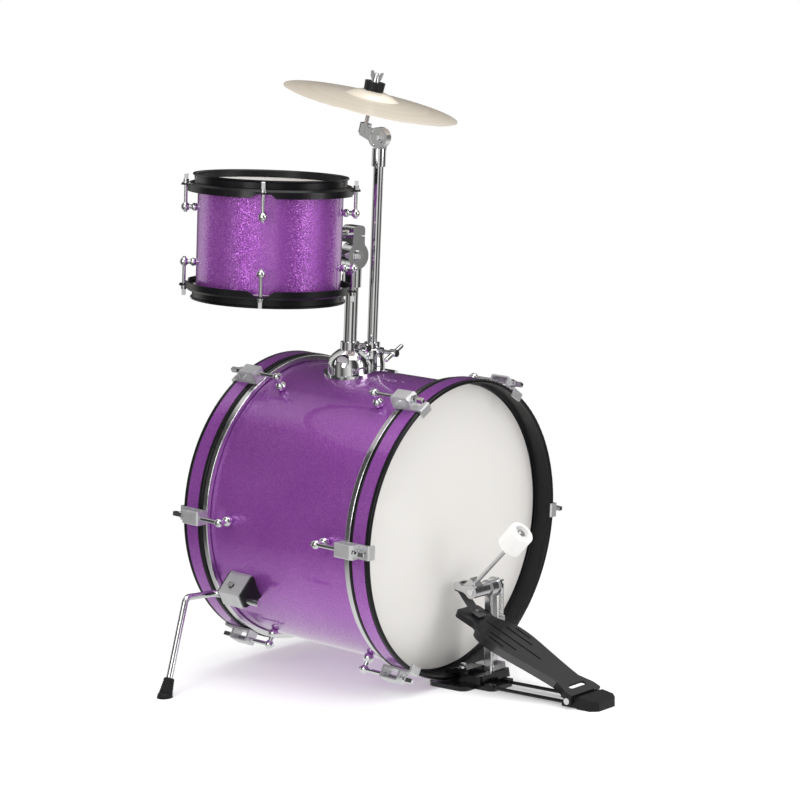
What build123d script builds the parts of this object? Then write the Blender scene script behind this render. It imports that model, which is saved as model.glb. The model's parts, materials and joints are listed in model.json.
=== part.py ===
"""A junior drum kit: bass drum on spurs, tom and cymbal on posts, and a foot pedal.

The drummer sits on the -Y side. X points to the drummer's right, Z up, and the origin is on the
floor under the middle of the kit. The bass drum leans back on its pedal, so what belongs to it is
drawn square to the drum, with Y along its axis, and is tipped as it is saved. The pedal is drawn
square to the floor. All sizes are in millimetres and all angles in degrees.
"""

import os
from math import atan2, cos, degrees, radians, sin, sqrt, tan

from build123d import *

os.makedirs("parts", exist_ok=True)

# Bass drum
BASS_DIAMETER = 406.4
BASS_LENGTH = 279.4
BASS_WALL = 6.0
FILM = 0.5
FILM_FIT = 0.2
COLLAR_DEPTH = 9.5
FLESH_HEIGHT = 9.2
FLESH_TOP_GAP = 3.5
FLESH_THICKNESS = 8.1
HOOP_DEPTH = 35.0
HOOP_THICKNESS = 5.5
HOOP_BEAD = 7.0
HOOP_WEB = 0.8
INLAY_THICKNESS = 0.6
LUGS_PER_HEAD = 6
LUG_FROM_EDGE = 50.0
BASS_ROD_DIAMETER = 6.0
ROD_FROM_HOOP = 12.6
CLAW_WIDTH = 20.0
CLAW_STRAP = 3.3
CLAW_LIP = 3.6
BASS_TILT = 2.8

# Post holder
HOLDER_Y = 30.0
HOLDER_LENGTH = 116.0
HOLDER_WIDTH = 76.0
FLANGE = 3.5
POST_SPACING = 50.0
TOM_POST_DIAMETER = 19.0
CYMBAL_POST_DIAMETER = 14.5
TUBE_WALL = 1.5
TOM_SLEEVE_TOP = 246.0
CYMBAL_SLEEVE_TOP = 241.0
HAND_BOLT_DIAMETER = 6.0

# Tom
TOM_DIAMETER = 200.0
TOM_DEPTH = 150.0
TOM_WALL = 5.0
TOM_REACH = 156.0
TOM_HEADING = 172.0
TOM_HEIGHT = 401.2
TOM_LUG_RADIUS = 117.0
TOM_LUG_HEIGHT = 38.0
TOM_ROD_DIAMETER = 5.0
TOM_HINGE_HEIGHT = 370.0
TOM_DISC_DIAMETER = 38.0

# Cymbal
CYMBAL_DIAMETER = 254.0
CYMBAL_THICKNESS = 0.9
BELL_DIAMETER = 80.0
BELL_HEIGHT = 9.5
BOW_HEIGHT = 9.5
CYMBAL_LEAN = 11.85
CYMBAL_TURN = 11.8
CYMBAL_HINGE_HEIGHT = 536.0
CYMBAL_RIM_HEIGHT = 584.0
CYMBAL_ROD_DIAMETER = 6.0

# Spurs
SPUR_ANGLE = 206.0
SPUR_ROD_ANGLE = 209.0
SPUR_ROD_RADIUS = 228.0
SPUR_ROD_DIAMETER = 9.5
SPUR_BLOCK_FROM = 56.0
SPUR_BLOCK_LENGTH = 46.0
SPUR_ROD_END_Y = 34.0
SPUR_ELBOW_Y = 118.0
SPUR_ELBOW_X = 260.0
SPUR_ELBOW_Z = -107.0
SPUR_FOOT_X = 322.0
SPUR_FOOT_Y = 93.0

# Pedal, placed from the floor under the middle of the bass drum's shell
PEDAL_X = 10.0
BASE_THICKNESS = 6.2
SEAT_GAP = 0.5
AXLE_Y = -182.0
AXLE_HEIGHT = 133.0
AXLE_DIAMETER = 9.0
POST_X = 44.0
BEATER_LEAN = 44.5
BEATER_OFFSET = 8.6
BEATER_REACH = 106.6
BEATER_DIAMETER = 36.0
BEATER_LENGTH = 35.0
BEATER_SHAFT_DIAMETER = 6.4
PIN_Y = -364.3
PIN_HEIGHT = 11.0
PIN_DIAMETER = 5.0
BOARD_SLOPE = 23.2
BOARD_TOP = 10.5
BOARD_LENGTH = 221.5
STRAP_WIDTH = 18.0
STRAP_THICKNESS = 1.6
HEEL_WIDTH = 56.0
HEEL_LENGTH = 31.0
HEEL_HEIGHT = 18.0
HEEL_FROM_PIN = 10.7

# Fits
RUNNING = 0.1
CLEAR = 0.3
LOOSE = 0.5

# Worked out from the sizes above
BASS_R = BASS_DIAMETER / 2
BASS_EDGE = BASS_LENGTH / 2
FILM_R = BASS_R + FILM_FIT + FILM
FLESH_TOP = BASS_EDGE - FLESH_TOP_GAP
FLESH_BOTTOM = FLESH_TOP - FLESH_HEIGHT
FLESH_R = FILM_R + FLESH_THICKNESS
HOOP_FACE = FLESH_TOP + HOOP_DEPTH
HOOP_R = FLESH_R + 1.9
HOOP_INNER_R = HOOP_R - HOOP_THICKNESS
LUG_Y = BASS_EDGE - LUG_FROM_EDGE
ROD_R = HOOP_R + ROD_FROM_HOOP
TILT_COS = cos(radians(BASS_TILT))
TILT_SIN = sin(radians(BASS_TILT))
SHELL_HEIGHT = HOOP_R * TILT_COS + HOOP_FACE * TILT_SIN + BASE_THICKNESS + SEAT_GAP
HEEL_FRONT = PIN_Y - HEEL_FROM_PIN
HEEL_BACK_Y = HEEL_FRONT - HEEL_LENGTH
FRONT_KEY_END = HOOP_FACE + 6.0
FRONT_REACH = FRONT_KEY_END * TILT_COS + (ROD_R * sin(radians(60)) + 3.4) * TILT_SIN
SHELL_Y = -(HEEL_BACK_Y + FRONT_REACH) / 2

DRUM = Location((0, SHELL_Y, SHELL_HEIGHT), (BASS_TILT, 0, 0))
FLOOR = Location((0, SHELL_Y, 0))


def save(piece, node, place):
    """Set a finished piece in the kit's frame, name it and write its file."""
    piece.part = piece.part.moved(place)
    piece.part.label = node
    export_step(piece.part, f"parts/{node}.step")


def repeated(piece, seats):
    """One finished piece at every seat, each copy a separate solid."""
    with BuildPart() as group:
        with Locations(*seats):
            add(piece.part)
    return group


def drum_seat(angle, side):
    """A seat on the bass drum: x along the drum towards one head, z straight out of the shell."""
    out = (cos(radians(angle)), 0, sin(radians(angle)))
    return Location(Plane(origin=(0, 0, 0), x_dir=(0, side, 0), z_dir=out))


def ring_profile(points, axis):
    """A closed outline of (radius, height) points turned once round an axis."""
    with BuildPart() as ring:
        with BuildSketch(Plane.XY if axis == Axis.Y else Plane.XZ):
            with BuildLine():
                Polyline(*points, close=True)
            make_face()
        revolve(axis=axis)
    return ring


LUG_ANGLES = [i * 360 / LUGS_PER_HEAD for i in range(LUGS_PER_HEAD)]
FRONT_SEATS = [drum_seat(angle, 1) for angle in LUG_ANGLES]
BATTER_SEATS = [drum_seat(angle, -1) for angle in LUG_ANGLES]
SCREW_DIAMETER = 4.0

# ---------------------------------------------------------------- bass drum shell and heads

POST_BORES = (
    ((-POST_SPACING / 2, HOLDER_Y + 1), TOM_POST_DIAMETER),
    ((POST_SPACING / 2, HOLDER_Y + 1), CYMBAL_POST_DIAMETER),
)
HOLDER_BOLT_X = HOLDER_LENGTH / 2 - 14
HOLDER_BOLT_Y = HOLDER_WIDTH / 2 - 12
HOLDER_BOLT_SEATS = [
    Location((x, HOLDER_Y + y, 0)) for x in (-HOLDER_BOLT_X, HOLDER_BOLT_X) for y in (-HOLDER_BOLT_Y, HOLDER_BOLT_Y)
]

with BuildPart() as bass_shell:
    with BuildSketch(Plane.XZ):
        Circle(BASS_R)
        Circle(BASS_R - BASS_WALL, mode=Mode.SUBTRACT)
    extrude(amount=BASS_EDGE, both=True)
    for (x, y), diameter in POST_BORES:
        with BuildSketch(Plane.XY) as bore:
            with Locations((x, y)):
                Circle(diameter / 2 + 1)
        extrude(amount=BASS_R + 5, mode=Mode.SUBTRACT)
    with Locations(*HOLDER_BOLT_SEATS):
        Cylinder(SCREW_DIAMETER / 2 + CLEAR, BASS_R + 5, align=(Align.CENTER, Align.CENTER, Align.MIN), mode=Mode.SUBTRACT)
    with Locations(*[seat * Location((LUG_Y, 0, BASS_R)) for seat in FRONT_SEATS + BATTER_SEATS]):
        Cylinder(SCREW_DIAMETER / 2 + CLEAR, 3 * BASS_WALL, mode=Mode.SUBTRACT)
save(bass_shell, "bass_shell", DRUM)


def film_head(side):
    """A plastic head: flat over the bearing edge, with a short collar down the shell."""
    edge = BASS_EDGE
    points = [
        (0, edge),
        (FILM_R - FILM, edge),
        (FILM_R - FILM, edge - COLLAR_DEPTH),
        (FILM_R, edge - COLLAR_DEPTH),
        (FILM_R, edge + FILM / 2),
        (FILM_R - FILM / 2, edge + FILM),
        (0, edge + FILM),
    ]
    return ring_profile([(r, side * y) for r, y in points], Axis.Y)


save(film_head(-1), "batter_head", DRUM)
save(film_head(1), "front_head", DRUM)

FLESH_ROUND = 1.6
with BuildPart() as bass_flesh_hoops:
    with BuildSketch(Plane.XY):
        with Locations(((FILM_R + FLESH_R) / 2, (FLESH_TOP + FLESH_BOTTOM) / 2)):
            RectangleRounded(FLESH_THICKNESS, FLESH_HEIGHT, FLESH_ROUND)
    revolve(axis=Axis.Y)
    mirror(about=Plane.XZ)
save(bass_flesh_hoops, "bass_flesh_hoops", DRUM)

INLAY_INNER_R = HOOP_R - HOOP_WEB
INLAY_FROM = FLESH_TOP + HOOP_BEAD
INLAY_TO = HOOP_FACE - HOOP_BEAD


def wooden_look_hoop(side):
    """A rolled hoop: a thin web with a rounded bead along both edges."""
    with BuildPart() as hoop:
        with BuildSketch(Plane.XY):
            for middle in (FLESH_TOP + HOOP_BEAD / 2, HOOP_FACE - HOOP_BEAD / 2):
                with Locations(((HOOP_R + HOOP_INNER_R) / 2, side * middle)):
                    RectangleRounded(HOOP_THICKNESS, HOOP_BEAD, HOOP_THICKNESS / 2 - 0.35)
            with Locations(((HOOP_INNER_R + HOOP_R) / 2, side * (FLESH_TOP + HOOP_FACE) / 2)):
                Rectangle(HOOP_THICKNESS - 2 * HOOP_WEB, HOOP_DEPTH - HOOP_BEAD)
        revolve(axis=Axis.Y)
    return hoop


save(wooden_look_hoop(-1), "batter_hoop", DRUM)
save(wooden_look_hoop(1), "front_hoop", DRUM)

with BuildPart() as bass_hoop_inlays:
    with BuildSketch(Plane.XY):
        with Locations((INLAY_INNER_R + INLAY_THICKNESS / 2, (INLAY_FROM + INLAY_TO) / 2)):
            Rectangle(INLAY_THICKNESS, INLAY_TO - INLAY_FROM)
    revolve(axis=Axis.Y)
    mirror(about=Plane.XZ)
save(bass_hoop_inlays, "bass_hoop_inlays", DRUM)

# ---------------------------------------------------------------- bass drum lugs, rods and claws

LUG_BALL = 6.5
LUG_FOOT_BALL = 7.6
LUG_NECK = 3.6
LUG_SCREW_DEPTH = 7.0

def ball_lug(shell_r, rod_r, foot_ball, ball, neck, rod_diameter):
    """A turned lug: a ball cut flat to the shell, a neck, and a ball that the rod runs into."""
    foot_height = shell_r + foot_ball - 1.2
    foot_edge = sqrt(foot_ball**2 - (shell_r - foot_height) ** 2)
    foot_top = foot_height + sqrt(foot_ball**2 - neck**2)
    ball_bottom = rod_r - sqrt(ball**2 - neck**2)
    with BuildPart() as lug:
        with BuildSketch(Plane.XZ):
            with BuildLine():
                Polyline((0, rod_r + ball), (0, shell_r), (foot_edge, shell_r))
                ThreePointArc((foot_edge, shell_r), (foot_ball, foot_height), (neck, foot_top))
                Line((neck, foot_top), (neck, ball_bottom))
                ThreePointArc((neck, ball_bottom), (ball, rod_r), (0, rod_r + ball))
            make_face()
        revolve(axis=Axis.Z)
        with Locations((0, 0, shell_r - 1)):
            Cylinder(
                SCREW_DIAMETER / 2 + RUNNING,
                LUG_SCREW_DEPTH + 1.5,
                align=(Align.CENTER, Align.CENTER, Align.MIN),
                mode=Mode.SUBTRACT,
            )
        with Locations(Location((0, 0, rod_r), (0, 90, 0))):
            Cylinder(rod_diameter / 2 + RUNNING, 4 * ball, mode=Mode.SUBTRACT)
    return lug


bass_lug = ball_lug(BASS_R, ROD_R, LUG_FOOT_BALL, LUG_BALL, LUG_NECK, BASS_ROD_DIAMETER)
LUG_SEATS = [seat * Location((LUG_Y, 0, 0)) for seat in FRONT_SEATS + BATTER_SEATS]
save(repeated(bass_lug, LUG_SEATS), "bass_lugs", DRUM)

SCREW_HEAD = 3.0
with BuildPart() as bass_lug_screw:
    with Locations((LUG_Y, 0, BASS_R - BASS_WALL - SCREW_HEAD)):
        Cylinder(SCREW_DIAMETER, SCREW_HEAD - CLEAR, align=(Align.CENTER, Align.CENTER, Align.MIN))
        Cylinder(
            SCREW_DIAMETER / 2,
            SCREW_HEAD + BASS_WALL + LUG_SCREW_DEPTH - CLEAR,
            align=(Align.CENTER, Align.CENTER, Align.MIN),
        )
save(repeated(bass_lug_screw, FRONT_SEATS + BATTER_SEATS), "bass_lug_screws", DRUM)

CLAW_BACK = FLESH_TOP - 10.5
CLAW_BOX_FRONT = HOOP_FACE - 13.5
CLAW_TOP = HOOP_R + 19.5
CLAW_BOTTOM = HOOP_R + RUNNING
CLAW_END = HOOP_FACE + RUNNING + CLAW_LIP
CLAW_WALL = 3.0
WINDOW_ROUND = 1.5

with BuildPart() as bass_claw:
    with BuildSketch(Plane.XZ):
        with BuildLine():
            Polyline(
                (CLAW_BACK, CLAW_BOTTOM),
                (CLAW_BACK, CLAW_TOP - 2),
                (CLAW_BACK + 2, CLAW_TOP),
                (CLAW_BOX_FRONT - 4, CLAW_TOP),
                (CLAW_BOX_FRONT, CLAW_TOP - 4),
                (CLAW_BOX_FRONT, CLAW_BOTTOM + CLAW_STRAP),
                (CLAW_END - 2, CLAW_BOTTOM + CLAW_STRAP),
                (CLAW_END, CLAW_BOTTOM + CLAW_STRAP - 2),
                (CLAW_END, HOOP_INNER_R - 4),
                (HOOP_FACE + RUNNING, HOOP_INNER_R - 4),
                (HOOP_FACE + RUNNING, CLAW_BOTTOM),
                close=True,
            )
        make_face()
    extrude(amount=CLAW_WIDTH / 2, both=True)
    fillet(bass_claw.edges().filter_by(Axis.X).group_by(Axis.Z)[-1], 2)
    with BuildSketch(Plane.XZ):
        with Locations(((CLAW_BACK + CLAW_BOX_FRONT) / 2, (CLAW_BOTTOM + CLAW_TOP) / 2)):
            RectangleRounded(
                CLAW_BOX_FRONT - CLAW_BACK - 2 * CLAW_WALL, CLAW_TOP - CLAW_BOTTOM - 2 * CLAW_WALL, WINDOW_ROUND
            )
    extrude(amount=CLAW_WIDTH, both=True, mode=Mode.SUBTRACT)
    with Locations(Location((CLAW_BOX_FRONT, 0, ROD_R), (0, 90, 0))):
        Cylinder(BASS_ROD_DIAMETER / 2 + CLEAR, 2 * HOOP_DEPTH, mode=Mode.SUBTRACT)
    # The strap under the box is hollowed to the hoop's own curve.
    with Locations(Location((0, 0, 0), (0, 90, 0))):
        Cylinder(HOOP_R + RUNNING / 2, 2 * HOOP_FACE, mode=Mode.SUBTRACT)
    with BuildSketch(Plane.YZ.offset(HOOP_FACE + RUNNING)):
        with Locations((0, (HOOP_INNER_R - 4 + CLAW_BOTTOM + CLAW_STRAP) / 2 - 1)):
            RectangleRounded(CLAW_WIDTH, CLAW_BOTTOM + CLAW_STRAP - HOOP_INNER_R + 2, 3)
    extrude(amount=CLAW_LIP)
save(repeated(bass_claw, FRONT_SEATS + BATTER_SEATS), "bass_claws", DRUM)

KEY_SQUARE = 6.0
KEY_COLLAR = 4.6


def key_rod(diameter, seat, back, head_end, flange=1.6, collar=5.0, square=KEY_SQUARE):
    """A tension rod along x: a shaft, a flange that bears on its claw or ear, and a square head."""
    with BuildPart() as rod:
        with Locations(Location((back, 0, 0), (0, 90, 0))):
            Cylinder(diameter / 2, head_end - back - 1, align=(Align.CENTER, Align.CENTER, Align.MIN))
        with Locations(Location((seat + RUNNING, 0, 0), (0, 90, 0))):
            Cylinder(diameter, flange, align=(Align.CENTER, Align.CENTER, Align.MIN))
            Cylinder(diameter * 0.77, flange + collar, align=(Align.CENTER, Align.CENTER, Align.MIN))
        with BuildSketch(Plane.YZ.offset(seat + flange)):
            Rectangle(square, square)
        extrude(amount=head_end - seat - flange)
        chamfer(rod.faces().sort_by(Axis.X)[-1].edges(), 0.7)
    return rod


ROD_BACK = LUG_Y - LUG_BALL - 1
batter_rod = key_rod(BASS_ROD_DIAMETER, CLAW_BOX_FRONT, ROD_BACK, HOOP_FACE + 4.8)
front_rod = key_rod(BASS_ROD_DIAMETER, CLAW_BOX_FRONT, ROD_BACK, FRONT_KEY_END)
ROD_LINE = Location((0, 0, ROD_R))
with BuildPart() as bass_tension_rods:
    with Locations(*[seat * ROD_LINE for seat in FRONT_SEATS]):
        add(front_rod.part)
    with Locations(*[seat * ROD_LINE for seat in BATTER_SEATS]):
        add(batter_rod.part)
save(bass_tension_rods, "bass_tension_rods", DRUM)

# ---------------------------------------------------------------- post holder

TOM_POST = (-POST_SPACING / 2, HOLDER_Y + 1)
CYMBAL_POST = (POST_SPACING / 2, HOLDER_Y + 1)
TOM_SLEEVE_R = TOM_POST_DIAMETER / 2 + 4
CYMBAL_SLEEVE_R = CYMBAL_POST_DIAMETER / 2 + 4.5
TOM_DOME_R = 31.0
CYMBAL_DOME_R = 20.0
FLUTES = 10
TOM_BOLT_HEIGHT = TOM_SLEEVE_TOP - 5.5
CYMBAL_BOLT_HEIGHT = CYMBAL_SLEEVE_TOP - 11


def sleeve_dome(place, foot_r, sleeve_r, shoulder, top):
    """A domed tower round a post: wide at the shell, closing in to a short plain sleeve."""
    with BuildPart(mode=Mode.PRIVATE) as dome:
        with BuildSketch(Plane.XZ):
            with BuildLine():
                Line((0, BASS_R - 25), (foot_r, BASS_R - 25))
                Line((foot_r, BASS_R - 25), (foot_r, BASS_R + 4))
                Spline(
                    (foot_r, BASS_R + 4),
                    (foot_r - 2, (BASS_R + 4 + shoulder) / 2),
                    (sleeve_r + 3, shoulder),
                    tangents=[(0, 1), (-1, 0.7)],
                )
                Line((sleeve_r + 3, shoulder), (sleeve_r, shoulder + 1))
                Line((sleeve_r, shoulder + 1), (sleeve_r, top))
                Line((sleeve_r, top), (0, top))
                Line((0, top), (0, BASS_R - 25))
            make_face()
        revolve(axis=Axis.Z)
    return dome.part.moved(Location((place[0], place[1], 0)))


tom_dome = sleeve_dome(TOM_POST, TOM_DOME_R, TOM_SLEEVE_R, TOM_SLEEVE_TOP - 12, TOM_SLEEVE_TOP)
cymbal_dome = sleeve_dome(CYMBAL_POST, CYMBAL_DOME_R, CYMBAL_SLEEVE_R, CYMBAL_SLEEVE_TOP - 8, CYMBAL_SLEEVE_TOP)

with BuildPart() as holder_base:
    with BuildSketch(Plane.XY.offset(BASS_R - 40)):
        with Locations((0, HOLDER_Y)):
            RectangleRounded(HOLDER_LENGTH, HOLDER_WIDTH, HOLDER_WIDTH / 2 - 6)
    extrude(amount=80)
    with BuildSketch(Plane.XZ.offset(-HOLDER_Y)):
        Circle(BASS_R + FLANGE)
        Circle(BASS_R + RUNNING, mode=Mode.SUBTRACT)
    extrude(amount=HOLDER_WIDTH, both=True, mode=Mode.INTERSECT)
    add(tom_dome)
    add(cymbal_dome)
    with BuildSketch(Plane.XY.offset(BASS_R - 10)):
        with Locations((0, HOLDER_Y + 1)):
            Rectangle(POST_SPACING, 26)
    extrude(amount=26)
    for (x, y), height in ((TOM_POST, TOM_BOLT_HEIGHT), (CYMBAL_POST, CYMBAL_BOLT_HEIGHT)):
        with BuildSketch(Plane.XZ.offset(-y)):
            with Locations((x, height)):
                RectangleRounded(11, 10.8, 3)
        extrude(amount=TOM_SLEEVE_R + 5)
    for (x, y), diameter in POST_BORES:
        with BuildSketch(Plane.XY.offset(BASS_R - 30)):
            with Locations((x, y)):
                Circle(diameter / 2 + RUNNING)
        extrude(amount=90, mode=Mode.SUBTRACT)
    for (x, y), height in ((TOM_POST, TOM_BOLT_HEIGHT), (CYMBAL_POST, CYMBAL_BOLT_HEIGHT)):
        with BuildSketch(Plane.XZ.offset(-y)):
            with Locations((x, height)):
                Circle(HAND_BOLT_DIAMETER / 2 + RUNNING)
        extrude(amount=40, mode=Mode.SUBTRACT)
    with Locations(Location((TOM_POST[0], TOM_POST[1], BASS_R + 16))):
        with PolarLocations(TOM_DOME_R + 1.2, FLUTES):
            Cylinder(3.2, 26, rotation=(0, -18, 0), mode=Mode.SUBTRACT)
    with BuildSketch(Plane.XZ):
        Circle(BASS_R + RUNNING)
    extrude(amount=3 * HOLDER_WIDTH, both=True, mode=Mode.SUBTRACT)
    with Locations(*HOLDER_BOLT_SEATS):
        Cylinder(
            SCREW_DIAMETER / 2 + RUNNING,
            BASS_R + 1,
            align=(Align.CENTER, Align.CENTER, Align.MIN),
            mode=Mode.SUBTRACT,
        )
save(holder_base, "holder_base", DRUM)

BOLT_X_DROP = BASS_R - sqrt(BASS_R**2 - (HOLDER_BOLT_X + SCREW_DIAMETER) ** 2)
with BuildPart() as holder_bolt:
    with Locations((0, 0, BASS_R - BOLT_X_DROP - BASS_WALL - SCREW_HEAD - 1)):
        Cylinder(SCREW_DIAMETER, SCREW_HEAD, align=(Align.CENTER, Align.CENTER, Align.MIN))
        Cylinder(
            SCREW_DIAMETER / 2, SCREW_HEAD + BASS_WALL + FLANGE, align=(Align.CENTER, Align.CENTER, Align.MIN)
        )
save(repeated(holder_bolt, HOLDER_BOLT_SEATS), "holder_bolts", DRUM)

WING_SPAN = 44.0
WING_DIAMETER = 6.5
WING_ANGLE = 27.0


def clamp_shank(post, post_diameter, height, reach):
    """The plain shank of a clamp bolt, from just off the post out towards the drummer."""
    x, y = post
    tip = post_diameter / 2 + LOOSE
    with Locations(Location((x, y - tip, height), (90, 0, 0))):
        Cylinder(HAND_BOLT_DIAMETER / 2, reach - tip, align=(Align.CENTER, Align.CENTER, Align.MIN))


TOM_BOLT_REACH = 36.0
THUMB_DIAMETER = 14.0
CYMBAL_BOLT_REACH = 41.0

with BuildPart() as tom_clamp_bolt:
    clamp_shank(TOM_POST, TOM_POST_DIAMETER, TOM_BOLT_HEIGHT, TOM_BOLT_REACH)
    with BuildSketch(Plane.XZ.offset(-TOM_POST[1] + TOM_BOLT_REACH - 8)):
        with Locations((TOM_POST[0], TOM_BOLT_HEIGHT)):
            Circle(THUMB_DIAMETER / 2)
    extrude(amount=8)
    chamfer(tom_clamp_bolt.faces().sort_by(Axis.Y)[0].edges(), 1.5)
    with BuildSketch(Plane.XZ.offset(-TOM_POST[1] + TOM_SLEEVE_R + 6)):
        with Locations((TOM_POST[0], TOM_BOLT_HEIGHT)):
            RegularPolygon(6.5, 6)
    extrude(amount=5)
save(tom_clamp_bolt, "tom_clamp_bolt", DRUM)

with BuildPart() as cymbal_clamp_bolt:
    clamp_shank(CYMBAL_POST, CYMBAL_POST_DIAMETER, CYMBAL_BOLT_HEIGHT, CYMBAL_BOLT_REACH)
    with BuildSketch(Plane.XZ.offset(-CYMBAL_POST[1] + CYMBAL_BOLT_REACH - 6)):
        with Locations((CYMBAL_POST[0], CYMBAL_BOLT_HEIGHT)):
            Circle(WING_DIAMETER * 0.8)
    extrude(amount=12)
    BAR = (CYMBAL_POST[0], CYMBAL_POST[1] - CYMBAL_BOLT_REACH, CYMBAL_BOLT_HEIGHT)
    with Locations(Location(BAR, (0, 90 - WING_ANGLE, 0))):
        Cylinder(WING_DIAMETER / 2, WING_SPAN - WING_DIAMETER)
        with Locations((0, 0, -(WING_SPAN - WING_DIAMETER) / 2), (0, 0, (WING_SPAN - WING_DIAMETER) / 2)):
            Sphere(WING_DIAMETER / 2)
save(cymbal_clamp_bolt, "cymbal_clamp_bolt", DRUM)

# ---------------------------------------------------------------- posts


def post_tube(post, diameter, bottom, top):
    """A plain tube standing in the holder, chamfered at the top."""
    with BuildPart() as tube:
        with BuildSketch(Plane.XY.offset(bottom)):
            with Locations(post):
                Circle(diameter / 2)
                Circle(diameter / 2 - TUBE_WALL, mode=Mode.SUBTRACT)
        extrude(amount=top - bottom)
    return tube


TOM_SOCKET_BOTTOM = 325.0
TOM_TUBE_TOP = 347.0
TOM_TUBE_BOTTOM = 118.0
CYMBAL_SOCKET_BOTTOM = 495.0
CYMBAL_SOCKET_TOP = 521.0
CYMBAL_TUBE_BOTTOM = 128.0
save(post_tube(TOM_POST, TOM_POST_DIAMETER, TOM_TUBE_BOTTOM, TOM_TUBE_TOP), "tom_tube", DRUM)
save(
    post_tube(CYMBAL_POST, CYMBAL_POST_DIAMETER, CYMBAL_TUBE_BOTTOM, CYMBAL_SOCKET_TOP - 5), "cymbal_tube", DRUM
)

# ---------------------------------------------------------------- tom, drawn from its own post
# Here x runs from the tom's post to the tom, y towards the drummer and z up the post.

TOM = DRUM * Location(
    Plane(
        origin=(TOM_POST[0], TOM_POST[1], 0),
        x_dir=(cos(radians(TOM_HEADING)), sin(radians(TOM_HEADING)), 0),
        z_dir=(0, 0, 1),
    )
)
TOM_R = TOM_DIAMETER / 2
TOM_EDGE = TOM_DEPTH / 2
TOM_DISC_R = TOM_DISC_DIAMETER / 2
DISC_FACE = 2.0
DISC_GAP = 0.4
DISC_HALF = 9.0

with BuildPart() as tilter_socket:
    with BuildSketch(Plane.XY.offset(TOM_SOCKET_BOTTOM)):
        Circle(TOM_POST_DIAMETER / 2 + 3.5)
    extrude(amount=TOM_HINGE_HEIGHT - TOM_DISC_R - LOOSE - TOM_SOCKET_BOTTOM)
    with BuildSketch(Plane.XZ.offset(-DISC_FACE)):
        with Locations((0, TOM_HINGE_HEIGHT)):
            Circle(TOM_DISC_R)
        with Locations((0, TOM_HINGE_HEIGHT - TOM_DISC_R)):
            Rectangle(TOM_POST_DIAMETER, TOM_DISC_R)
    extrude(amount=DISC_HALF + 1)
    with BuildSketch(Plane.XZ.offset(TOM_POST_DIAMETER / 2 + 1)):
        with Locations((0, (TOM_SOCKET_BOTTOM + TOM_TUBE_TOP) / 2)):
            RectangleRounded(10, 14, 3)
    extrude(amount=6)
    with BuildSketch(Plane.XY.offset(TOM_SOCKET_BOTTOM - 1)):
        Circle(TOM_POST_DIAMETER / 2 + RUNNING)
    extrude(amount=TOM_TUBE_TOP - TOM_SOCKET_BOTTOM + 2, mode=Mode.SUBTRACT)
    with BuildSketch(Plane.XZ.offset(-DISC_FACE - 1)):
        with Locations((0, TOM_HINGE_HEIGHT)):
            Circle(HAND_BOLT_DIAMETER / 2 + RUNNING)
    extrude(amount=DISC_HALF + 4, mode=Mode.SUBTRACT)
save(tilter_socket, "tilter_socket", TOM)

ARM_ROD_DIAMETER = 12.0
ARM_BLOCK = 24.0
BRACKET_FACE = TOM_REACH - TOM_R - RUNNING
BRACKET_BOSS = 20.0
ARM_FRONT = DISC_FACE + DISC_GAP
ARM_THICKNESS = 9.5

with BuildPart() as tilter_arm:
    with BuildSketch(Plane.XZ.offset(-ARM_FRONT)):
        with Locations((0, TOM_HINGE_HEIGHT)):
            Circle(TOM_DISC_R)
    extrude(amount=-ARM_THICKNESS)
    with BuildSketch(Plane.XZ.offset(-ARM_FRONT)):
        with BuildLine():
            Polyline(
                (-13, TOM_HINGE_HEIGHT + 8),
                (-11, TOM_HEIGHT - ARM_BLOCK / 2),
                (11, TOM_HEIGHT - ARM_BLOCK / 2),
                (13, TOM_HINGE_HEIGHT + 8),
                close=True,
            )
        make_face()
    extrude(amount=-ARM_THICKNESS)
    with Locations((0, ARM_FRONT + ARM_THICKNESS - ARM_BLOCK / 2, TOM_HEIGHT)):
        Box(ARM_BLOCK - 2, ARM_BLOCK, ARM_BLOCK)
    fillet(tilter_arm.edges().filter_by(Axis.Y).group_by(Axis.Z)[-1], 6)
    with BuildSketch(Plane.YZ.offset(ARM_BLOCK / 2 - 2)):
        with Locations((0, TOM_HEIGHT)):
            Circle(ARM_ROD_DIAMETER / 2)
    extrude(amount=BRACKET_FACE - ARM_BLOCK / 2)
    with Locations((-ARM_BLOCK / 2, ARM_FRONT + ARM_THICKNESS - ARM_BLOCK / 2, TOM_HEIGHT - 3)):
        Box(16, ARM_BLOCK + 2, 1.6, mode=Mode.SUBTRACT)
    with BuildSketch(Plane.XZ.offset(-ARM_FRONT + 1)):
        with Locations((0, TOM_HINGE_HEIGHT)):
            Circle(HAND_BOLT_DIAMETER / 2 + CLEAR)
    extrude(amount=-ARM_THICKNESS - 2, mode=Mode.SUBTRACT)
save(tilter_arm, "tilter_arm", TOM)

ARM_BACK = ARM_FRONT + ARM_THICKNESS
with BuildPart() as tilter_bolt:
    with BuildSketch(Plane.XZ.offset(DISC_HALF - 1)):
        with Locations((0, TOM_HINGE_HEIGHT)):
            Circle(HAND_BOLT_DIAMETER / 2)
    extrude(amount=-(DISC_HALF - 1 + ARM_BACK + 1))
    with BuildSketch(Plane.XZ.offset(-ARM_BACK - CLEAR)):
        with Locations((0, TOM_HINGE_HEIGHT)):
            Circle(TOM_DISC_R * 0.42)
    extrude(amount=-2.5)
    with BuildSketch(Plane.XZ.offset(-ARM_BACK - 2)):
        with Locations((0, TOM_HINGE_HEIGHT)):
            Rectangle(KEY_SQUARE, KEY_SQUARE)
    extrude(amount=-6)
save(tilter_bolt, "tilter_bolt", TOM)

BRACKET_HEIGHT = 58.0
BRACKET_WIDTH = 42.0
BRACKET_PLATE = 3.0
BRACKET_SCREW = 19.0

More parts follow.
